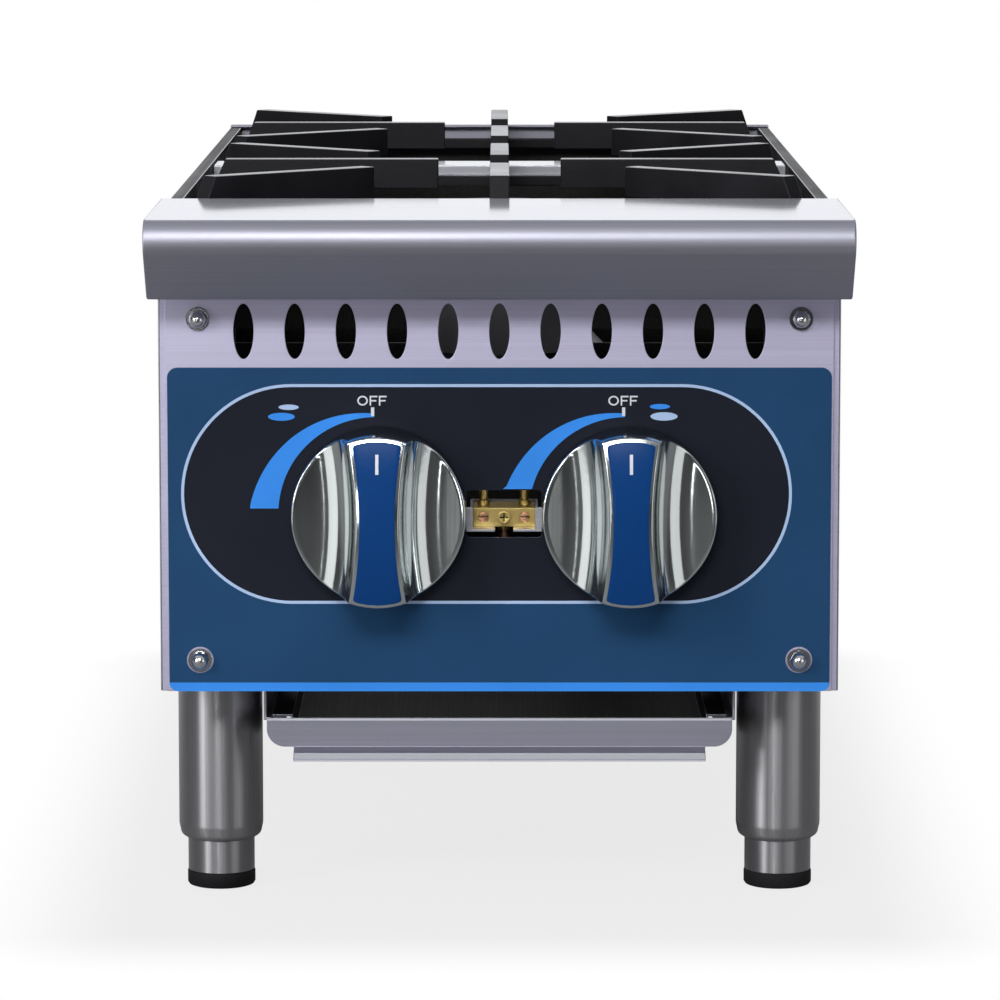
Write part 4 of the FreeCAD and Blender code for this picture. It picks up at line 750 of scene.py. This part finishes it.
def knob_slice(v, reach):
    """Half a level cut through the knob's front, from the middle to the rim: points (across, out)."""
    half = min(grip_half(v), reach)
    arc_top = max(half - KNOB_EDGE, 0.0)
    run = [(arc_top * i / 8, crown_height(arc_top * i / 8, v)) for i in range(9)]
    edge_low = crown_height(arc_top, v) - KNOB_EDGE
    for i in range(1, 7):
        turn = math.pi / 2 * i / 6
        run.append((arc_top + (half - arc_top) * math.sin(turn), edge_low + KNOB_EDGE * math.cos(turn)))
    sweep = math.pi / 2 + math.atan(SCOOP_RISE)
    foot = half + SIDE_LEAN
    side = [(half, edge_low)]
    start = SCOOP_LOW + SCOOP_ROUND
    for i in range(5):
        share = i / 4
        side.append((half + SIDE_LEAN * share, edge_low + (start - edge_low) * share))
    for i in range(1, 17):
        turn = sweep * i / 16
        side.append((foot + SCOOP_ROUND * (1 - math.cos(turn)), start - SCOOP_ROUND * math.sin(turn)))
    last = side[-1]
    side.append((last[0] + 60, last[1] + 60 * SCOOP_RISE))
    kept = [side[0]]
    for a, b in zip(side, side[1:]):
        if b[0] >= reach:
            share = (reach - a[0]) / (b[0] - a[0]) if b[0] > a[0] else 0.0
            share = max(0.0, min(1.0, share))
            kept.append((reach, a[1] + (b[1] - a[1]) * share))
            break
        kept.append(b)
    return run + resampled(kept, 26)[1:]


def make_knob(hand, x):
    """Chrome knob: waisted grip bar between two finger scoops, rounded rim and hollow back."""
    shape = bmesh.new()
    inner = KNOB_RADIUS - KNOB_EDGE
    slices = []
    flat = []
    count = 72
    for i in range(count + 1):
        v = inner * math.sin(math.pi * (i / count - 0.5))
        reach = math.sqrt(max(inner * inner - v * v, 0.0))
        half = knob_slice(v, reach)
        places = [(-u, v, w) for u, w in half[:0:-1]] + [(u, v, w) for u, w in half]
        flat.append(places)
        slices.append([shape.verts.new(knob_spot(x, *place)) for place in places])
    lay_faces(shape, slices)
    loops = [[row[-1] for row in slices] + [row[0] for row in slices[-2:0:-1]]]
    rim = [row[-1] for row in flat] + [row[0] for row in flat[-2:0:-1]]
    for step in range(1, 5):
        turn = math.pi / 2 * step / 4
        grow = (inner + KNOB_EDGE * math.sin(turn)) / inner
        drop = KNOB_EDGE * (1 - math.cos(turn))
        loops.append([shape.verts.new(knob_spot(x, u * grow, v * grow, w - drop)) for u, v, w in rim])
    for radius, depth in ((KNOB_RADIUS, 0.5), (KNOB_RADIUS - 0.5, 0), (KNOB_HOLLOW, 0),
                          (KNOB_HOLLOW, HOLLOW_DEPTH), (HUB_RADIUS, HOLLOW_DEPTH), (HUB_RADIUS, 0),
                          (STEM_RADIUS, 0), (STEM_RADIUS, STEM_DEPTH)):
        ring = []
        for u, v, w in rim:
            grow = radius / math.hypot(u, v)
            ring.append(shape.verts.new(knob_spot(x, u * grow, v * grow, depth)))
        loops.append(ring)
    for first, second in zip(loops, loops[1:]):
        bridge(shape, first, second)
    shape.faces.new(loops[-1])
    bmesh.ops.remove_doubles(shape, verts=shape.verts, dist=0.01 * MM)
    bmesh.ops.dissolve_degenerate(shape, edges=shape.edges, dist=0.005 * MM)
    face_outward(shape)
    mesh = mesh_from(f"knob_{hand}_shown", shape, CHROME, crease=50)
    put(f"knob_{hand}_shown", mesh, f"knob_{hand}_body", "knob_chrome", f"knob_{hand}")


def make_inlay(hand, x):
    """Coloured strip let into the crown of the grip, with a plain pointer line at its upper end."""
    margin = 1.8
    thick = 0.55
    inner = KNOB_RADIUS - margin
    lengthwise = 96
    across = 10
    shape = bmesh.new()
    rows = []
    for i in range(lengthwise + 1):
        v = -inner * math.cos(math.pi * i / lengthwise)
        round_end = math.sqrt(max(inner * inner - v * v, 0.0))
        side = grip_half(v) - margin
        half = side * round_end / (side ** 9 + round_end ** 9) ** (1 / 9)
        row = []
        for j in range(across + 1):
            u = half * (2 * j / across - 1)
            row.append(shape.verts.new(knob_spot(x, u, v, crown_height(u, v) + thick)))
        rows.append(row)
    lay_faces(shape, rows)
    bmesh.ops.remove_doubles(shape, verts=shape.verts, dist=0.01 * MM)
    fold_back(shape, thick + 0.2)
    soften_edges(shape, 0.22)
    mesh = mesh_from(f"knob_inlay_{hand}_shown", shape, INLAY_BLUE, crease=60)
    put(f"knob_inlay_{hand}_shown", mesh, f"knob_{hand}_body", "inlay_blue", f"knob_inlay_{hand}")
    line = bmesh.new()
    length, top, half, cells = 9.0, 31.0, 0.7, 12
    rows = []
    for i in range(cells + 1):
        v = top - length + length * i / cells
        rows.append([line.verts.new(knob_spot(x, u, v, crown_height(u, v) + thick + 0.12))
                     for u in (-half, 0.0, half)])
    lay_faces(line, rows)
    fold_back(line, 0.2)
    mark = mesh_from(f"pointer_{hand}", line, INK_WHITE)
    put(f"pointer_{hand}", mark, f"knob_{hand}_body", "knob_chrome")


# Printing on the control overlay

OVERLAY_FRONT = -305.4
INK = 0.02
INK_STEP = 0.04


def print_flat(name, loops, layer, material):
    """Ink inside closed loops of (x, z) points in mm, laid on the overlay; an inner loop is a hole."""
    curve = bpy.data.curves.new(name, "CURVE")
    curve.dimensions = "2D"
    curve.fill_mode = "BOTH"
    curve.extrude = INK * MM
    for loop in loops:
        spline = curve.splines.new("POLY")
        spline.points.add(len(loop) - 1)
        spline.use_cyclic_u = True
        for point, (x, z) in zip(spline.points, loop):
            point.co = (x * MM, z * MM, 0, 1)
    mesh = evaluated_mesh(name, curve)
    shape = bmesh.new()
    shape.from_mesh(mesh)
    bpy.data.meshes.remove(mesh)
    bmesh.ops.remove_doubles(shape, verts=shape.verts, dist=0.0005 * MM)
    out = OVERLAY_FRONT - INK - INK_STEP * layer
    bmesh.ops.transform(shape, matrix=at(0, out, 0, FACING_FRONT), verts=shape.verts)
    face_outward(shape)
    put(name, mesh_from(name, shape, material), "chassis", "overlay_print")


def oval(x, z, width, height, points=48):
    return [(x + width / 2 * math.cos(2 * math.pi * i / points),
             z + height / 2 * math.sin(2 * math.pi * i / points)) for i in range(points)]


def box_loop(left, right, low, high):
    return [(left, low), (right, low), (right, high), (left, high)]


def stadium(inset):
    """Outline of the dark field, moved in by inset."""
    half_w, half_h = 133.5 - inset, 48.0 - inset
    x, z = -5.7, 184.7
    bend = half_h - 0.01
    return rounded(((x - half_w, z - half_h, bend), (x + half_w, z - half_h, bend),
                    (x + half_w, z + half_h, bend), (x - half_w, z + half_h, bend)), 24)


def letter_f(left, low, height, width, stroke):
    arm = left + width * 0.86
    arm_low = low + height * 0.42
    top = low + height
    return [(left, low), (left + stroke, low), (left + stroke, arm_low), (arm, arm_low),
            (arm, arm_low + stroke), (left + stroke, arm_low + stroke), (left + stroke, top - stroke),
            (left + width, top - stroke), (left + width, top), (left, top)]


def wedge(x, cut):
    """Flame-size band that widens from the OFF tick round to the left, cut level at its lower end."""
    inner, outer = [], []
    inside, narrow, growth, outside = 42.2, 44.4, 10.8, 54.6
    steps = 40
    for i in range(steps + 1):
        share = i / steps
        angle = math.radians(90 + 90 * share)
        for run, radius in ((inner, inside + 0.6 * (1 - share) ** 2),
                            (outer, narrow + growth * share ** 1.2)):
            spot_x = x + radius * math.cos(angle)
            spot_z = KNOB_AXIS + radius * math.sin(angle)
            if spot_z >= cut:
                run.append((spot_x, spot_z))
    for run, radius in ((inner, inside), (outer, outside)):
        run.append((x - math.sqrt(radius * radius - (cut - KNOB_AXIS) ** 2), cut))
    return inner + outer[::-1]


def make_prints():
    window = rounded(((-14.5, 165.5, 1.5), (18.5, 165.5, 1.5), (18.5, 186.5, 1.5), (-14.5, 186.5, 1.5)))
    stems = [oval(x, KNOB_AXIS, 13, 13) for hand, x in KNOBS]
    print_flat("print_field", [stadium(0), window] + stems, 0, FIELD_BLACK)
    print_flat("print_border", [stadium(-0.65), stadium(0.65)], 1, LINE_LAVENDER)
    edge = 145.6
    foot = rounded(((-edge, 100.9), (-edge, 97, 3.85), (edge, 97, 3.85), (edge, 100.9)))
    print_flat("print_stripe", [foot], 0, BRIGHT_BLUE)
    low, tall = 223.9, 4.3
    for hand, x, cut in (("left", -55, 178.4), ("right", 55, 187.0)):
        tick = x - 0.6
        print_flat(f"print_wedge_{hand}", [wedge(x, cut)], 1, BRIGHT_BLUE)
        print_flat(f"print_tick_{hand}", [box_loop(tick - 0.7, tick + 0.7, 219.3, 223.1)], 2, INK_WHITE)
        loops = [oval(tick - 4.4, low + tall / 2, width, height)
                 for width, height in ((4.6, tall), (3.3, tall - 1.3))]
        print_flat(f"print_o_{hand}", loops, 2, INK_WHITE)
        for number, left in (("one", tick - 1.3), ("two", tick + 2.75)):
            print_flat(f"print_f_{number}_{hand}", [letter_f(left, low, tall, 3.4, 0.65)], 2, INK_WHITE)
    for name, place, ink in (("left_rear", (-92.4, 223.15, 8.8, 2.4), LINE_LAVENDER),
                             ("left_front", (-95.6, 218.95, 11.7, 3.5), BRIGHT_BLUE),
                             ("right_rear", (70.3, 223.45, 8.8, 2.3), BRIGHT_BLUE),
                             ("right_front", (72.1, 219.1, 11.9, 3.7), LINE_LAVENDER)):
        print_flat(f"mark_{name}", [oval(*place)], 1, ink)


# Grates, burners and gas parts


def make_grate(name):
    """Cast grate with softened edges; its top faces are ground bare."""
    shape = joined_copy(f"grate_{name}")
    soften_edges(shape, 0.6)
    mesh = even_faces(mesh_from(f"grate_{name}_shown", shape, GRATE_IRON))
    ground = mesh.attributes.new("ground", "FLOAT", "FACE")
    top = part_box(f"grate_{name}")[1].z
    for face, worn in zip(mesh.polygons, ground.data):
        worn.value = 1.0 if face.normal.z > 0.9 and face.center.z > top - 0.3 * MM else 0.0
    put(f"grate_{name}_shown", mesh, f"grate_{name}_body", "grate_iron", f"grate_{name}")


def make_pilot_screws():
    """Pilot valve's screws, with painted shade in their slots and round their sides."""
    for node_name in ("pilot_screw_left", "pilot_screw_right", "pilot_cover_screw"):
        shape = joined_copy(node_name)
        face_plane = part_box(node_name)[0].y
        for face in shape.faces:
            face.material_index = 1 if face.calc_center_median().y > face_plane + 0.1 * MM else 0
        soften_edges(shape, 0.12)
        mesh = mesh_from(f"{node_name}_shown", shape, SLOT_FINISH[slot_of[node_name]], SHADE_STEEL)
        put(f"{node_name}_shown", mesh, body_of(node_name), slot_of[node_name], node_name)


def make_shade_skirt():
    """Near-black skirt under the back of the pilot bracket, which the solids lack: painted shade that closes
    the view through the cabinet.
    """
    low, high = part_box("pilot_bracket")
    shape = bmesh.new()
    made = bmesh.ops.create_cube(shape, size=1)
    size = Vector((42, 1, 8.4)) * MM
    centre = Vector(((low.x + high.x) / 2, high.y - 0.6 * MM, low.z - 4.2 * MM))
    for vert in made["verts"]:
        vert.co = Vector(part * span for part, span in zip(vert.co, size)) + centre
    put("shade_skirt", mesh_from("shade_skirt", shape, SHADE_STEEL), "chassis", slot_of["pilot_bracket"])


def make_inlet_pipe():
    """Inlet pipe with a cut thread at its open end."""
    x, z = 116, 151
    front, shoulder, end = -260, 336, 355
    pipe_outer, thread_outer, bore = 13.35, 12.95, 10.45
    pitch, depth, run_in, run_out = 1.81, 1.0, 3.0, 1.2
    segments, steps = 64, 92
    shape = bmesh.new()
    rings = []

    def ring(y, radius, thread=0.0):
        """One ring of the wall, with the thread cut to a depth."""
        made = []
        for i in range(segments):
            angle = 2 * math.pi * i / segments
            phase = (y / pitch - angle / (2 * math.pi)) % 1.0
            reach = radius - thread * abs(2 * phase - 1) ** 1.2
            spot = Vector((x + reach * math.cos(angle), y, z + reach * math.sin(angle)))
            made.append(shape.verts.new(spot * MM))
        rings.append(made)

    for y, radius in ((front, bore), (front, pipe_outer), (shoulder - 0.6, pipe_outer),
                      (shoulder, thread_outer)):
        ring(y, radius)
    for k in range(1, steps):
        y = shoulder + (end - shoulder) * k / steps
        whole = min(1.0, (end - y) / run_out)
        ring(y, thread_outer - 0.5 * (1 - whole), depth * min(whole, (y - shoulder) / run_in))
    ring(end, 12.2)
    ring(end, bore)
    rings.append(rings[0])
    for first, second in zip(rings, rings[1:]):
        bridge(shape, first, second)
    face_outward(shape)
    mesh = mesh_from("inlet_pipe_shown", shape, PIPE_BLACK, crease=50)
    put("inlet_pipe_shown", mesh, "chassis", "gas_pipe", "inlet_pipe")


# Legs

TUBE_RUN = [(0, 67)] + rounded(((15.05, 67), (15.05, 22), (15.6, 22), (18, 23.6, 3), (19, 28.5, 6.5),
                                (19, 97), (0, 97)), 10)
FOOT_RUN = ((0, 7), (14.7, 7), (15, 7.3), (15, 66.4), (14.4, 67), (0, 67))
PAD_RUN = ((0, 0), (13.6, 0), (14.6, 0.35), (15.3, 1.4), (15.3, 6.2), (15.1, 6.8), (14.4, 7), (0, 7))


def make_legs():
    """Fixed tubes, with a foot and a rubber pad in each that move together."""

    def round_mesh(name, run, place, segments, material):
        shape = bmesh.new()
        turned(shape, run, place, segments)
        face_outward(shape)
        return mesh_from(name, shape, material)

    corners = [(f"{end}_{hand}", x, y) for end, y in (("front", -253), ("rear", 279))
               for hand, x in (("left", -126), ("right", 126))]
    tube = round_mesh("leg tube", TUBE_RUN, Matrix.Identity(4), 72, LEG_STEEL)
    whole = set_out("leg_tubes", tube, 2, 2, 252, 532, LEVEL_ROWS, (0, 13, 0), LEG_STEEL)
    put("leg_tubes", whole, "chassis", "leg_steel", *[f"leg_tube_{corner}" for corner, x, y in corners])
    for corner, x, y in corners:
        for name, node_name, run, material in (("foot", "leg_foot", FOOT_RUN, LEG_STEEL),
                                               ("rubber", "foot_pad", PAD_RUN, RUBBER)):
            mesh = round_mesh(f"{name}_{corner}", run, at(x, y, 0), 64, material)
            node_name = f"{node_name}_{corner}"
            put(f"{name}_{corner}", mesh, f"foot_{corner}_body", slot_of[node_name], node_name)


make_panels()
make_tray()
make_ledge()
make_nuts()
make_rear_screws()
for hand, x in KNOBS:
    make_knob(hand, x)
    make_inlay(hand, x)
make_prints()
for name in ("front", "rear"):
    make_grate(name)
make_pilot_screws()
make_shade_skirt()
make_inlet_pipe()
make_legs()
for name in frame["nodes"]:
    if name not in dressed:
        softened(name, SLOT_FINISH[slot_of[name]], 0.25)


# Camera, floor and light


def make_camera():
    lens = bpy.data.cameras.new("front view")
    lens.lens = 187.19
    lens.sensor_width = 36.0
    camera = bpy.data.objects.new("front view", lens)
    camera.location = (0.225 * MM, -2569.6 * MM, 482.0 * MM)
    camera.rotation_euler = (math.radians(90 - 7.544), 0, 0)
    bpy.context.scene.collection.objects.link(camera)
    bpy.context.scene.camera = camera


def make_floor():
    """Floor seen white, with a painted shade round the object through which its shadow shows; dark in front
    to metal, a painted dark reflection, and white behind as a backdrop.
    """
    mesh = bpy.data.meshes.new("floor")
    reach = 40.0
    corners = [(-reach, -reach, 0), (reach, -reach, 0), (reach, reach, 0), (-reach, reach, 0)]
    mesh.from_pydata(corners, [], [(0, 1, 2, 3)])
    floor = bpy.data.objects.new("floor", mesh)
    floor.location.z = -0.2 * MM
    bpy.context.scene.collection.objects.link(floor)
    material, tree, shader = new_material("pale floor", Roughness=0.7, Specular_IOR_Level=0.1)
    spot = node(tree, "ShaderNodeTexCoord").outputs["Object"]
    along = node(tree, "ShaderNodeSeparateXYZ", Vector=spot).outputs["Y"]
    # The floor's own colour, near-black in front and grey near the object, is what metal reflects where the
    # camera sees white: a painted dark reflection.
    near = ramp(tree, along, -1.0, -0.45, 0.0, 1.0, "SMOOTHSTEP")
    tree.links.new(blend_colours(tree, near, grey(0.06), grey(0.3)), shader.inputs["Base Color"])

    # The camera sees it white, but for a painted shade round the object's footprint, deeper from above,
    # through which the floor's real shadow shows.
    footprint = (0.1525, 0.355, 1.0)
    beyond = vector_node(tree, "SUBTRACT", vector_node(tree, "ABSOLUTE", spot), footprint)
    away = vector_node(tree, "LENGTH", vector_node(tree, "MAXIMUM", beyond, (0.0, 0.0, 0.0)), result="Value")
    sight = node(tree, "ShaderNodeNewGeometry").outputs["Incoming"]
    steep = node(tree, "ShaderNodeSeparateXYZ", Vector=sight).outputs["Z"]
    under = ramp(tree, steep, 0.22, 0.42, 0.8, 0.35, "SMOOTHSTEP")
    path = node(tree, "ShaderNodeLightPath").outputs
    seen = math_node(tree, "MULTIPLY", path["Is Camera Ray"],
                     ramp(tree, away, 0.0, 0.09, under, 1.0, "SMOOTHSTEP"))
    mirrored = math_node(tree, "MULTIPLY",
                         math_node(tree, "MAXIMUM", path["Is Glossy Ray"], path["Is Transmission Ray"]),
                         ramp(tree, along, 0.0, 1.2, 0.0, 1.0, "SMOOTHSTEP"))
    share = math_node(tree, "MAXIMUM", seen, mirrored)
    white = node(tree, "ShaderNodeEmission", Color=(1, 1, 1, 1), Strength=1.0)
    mix = node(tree, "ShaderNodeMixShader", None, (share, shader.outputs[0], white.outputs[0]))
    tree.links.new(mix.outputs[0], tree.nodes["Material Output"].inputs["Surface"])
    mesh.materials.append(material)


def make_world():
    """White behind the object, soft overhead and dim at the front and sides."""
    world = bpy.data.worlds.new("studio")
    bpy.context.scene.world = world
    world.use_nodes = True
    tree = world.node_tree
    tree.nodes.clear()
    way = node(tree, "ShaderNodeTexCoord").outputs["Generated"]
    way = node(tree, "ShaderNodeSeparateXYZ", Vector=way).outputs
    behind = ramp(tree, way["Y"], 0.45, 0.9, 0.12, 1.0, "SMOOTHSTEP")
    above = ramp(tree, way["Z"], 0.3, 0.9, 0.0, 0.5, "SMOOTHSTEP")
    level = math_node(tree, "MAXIMUM", behind, above)
    soft = node(tree, "ShaderNodeBackground", Color=(0.96, 0.97, 1.0, 1), Strength=level)
    node(tree, "ShaderNodeOutputWorld", Surface=soft.outputs[0])


def make_lamp(name, spot, target, width, height, power):
    data = bpy.data.lights.new(name, "AREA")
    data.shape = "RECTANGLE"
    data.size = width
    data.size_y = height
    data.energy = power
    lamp = bpy.data.objects.new(name, data)
    lamp.visible_camera = False
    lamp.location = spot
    lamp.rotation_euler = (Vector(target) - Vector(spot)).to_track_quat("-Z", "Y").to_euler()
    bpy.context.scene.collection.objects.link(lamp)


bpy.context.scene.view_settings.view_transform = "Standard"
make_camera()
make_floor()
make_world()
make_lamp("left key", (-1.89, -1.89, 1.0), (0, -0.3, 0.2), 0.5, 1.2, 22)
make_lamp("right key", (1.89, -1.89, 1.0), (0, -0.3, 0.2), 0.5, 1.2, 2)
make_lamp("front card", (-0.20, -1.75, 1.0), (0, -0.3, 0.2), 0.8, 0.33, 13)
make_lamp("left card", (-0.57, -0.82, 0.18), (-0.05, -0.32, 0.18), 0.46, 0.34, 0.44)
make_lamp("right card", (0.57, -0.82, 0.18), (0.05, -0.32, 0.18), 0.46, 0.34, 0.38)
make_lamp("low strip", (-0.35, -1.9, 0.16), (0, -0.3, 0.1), 0.08, 0.3, 0.6)
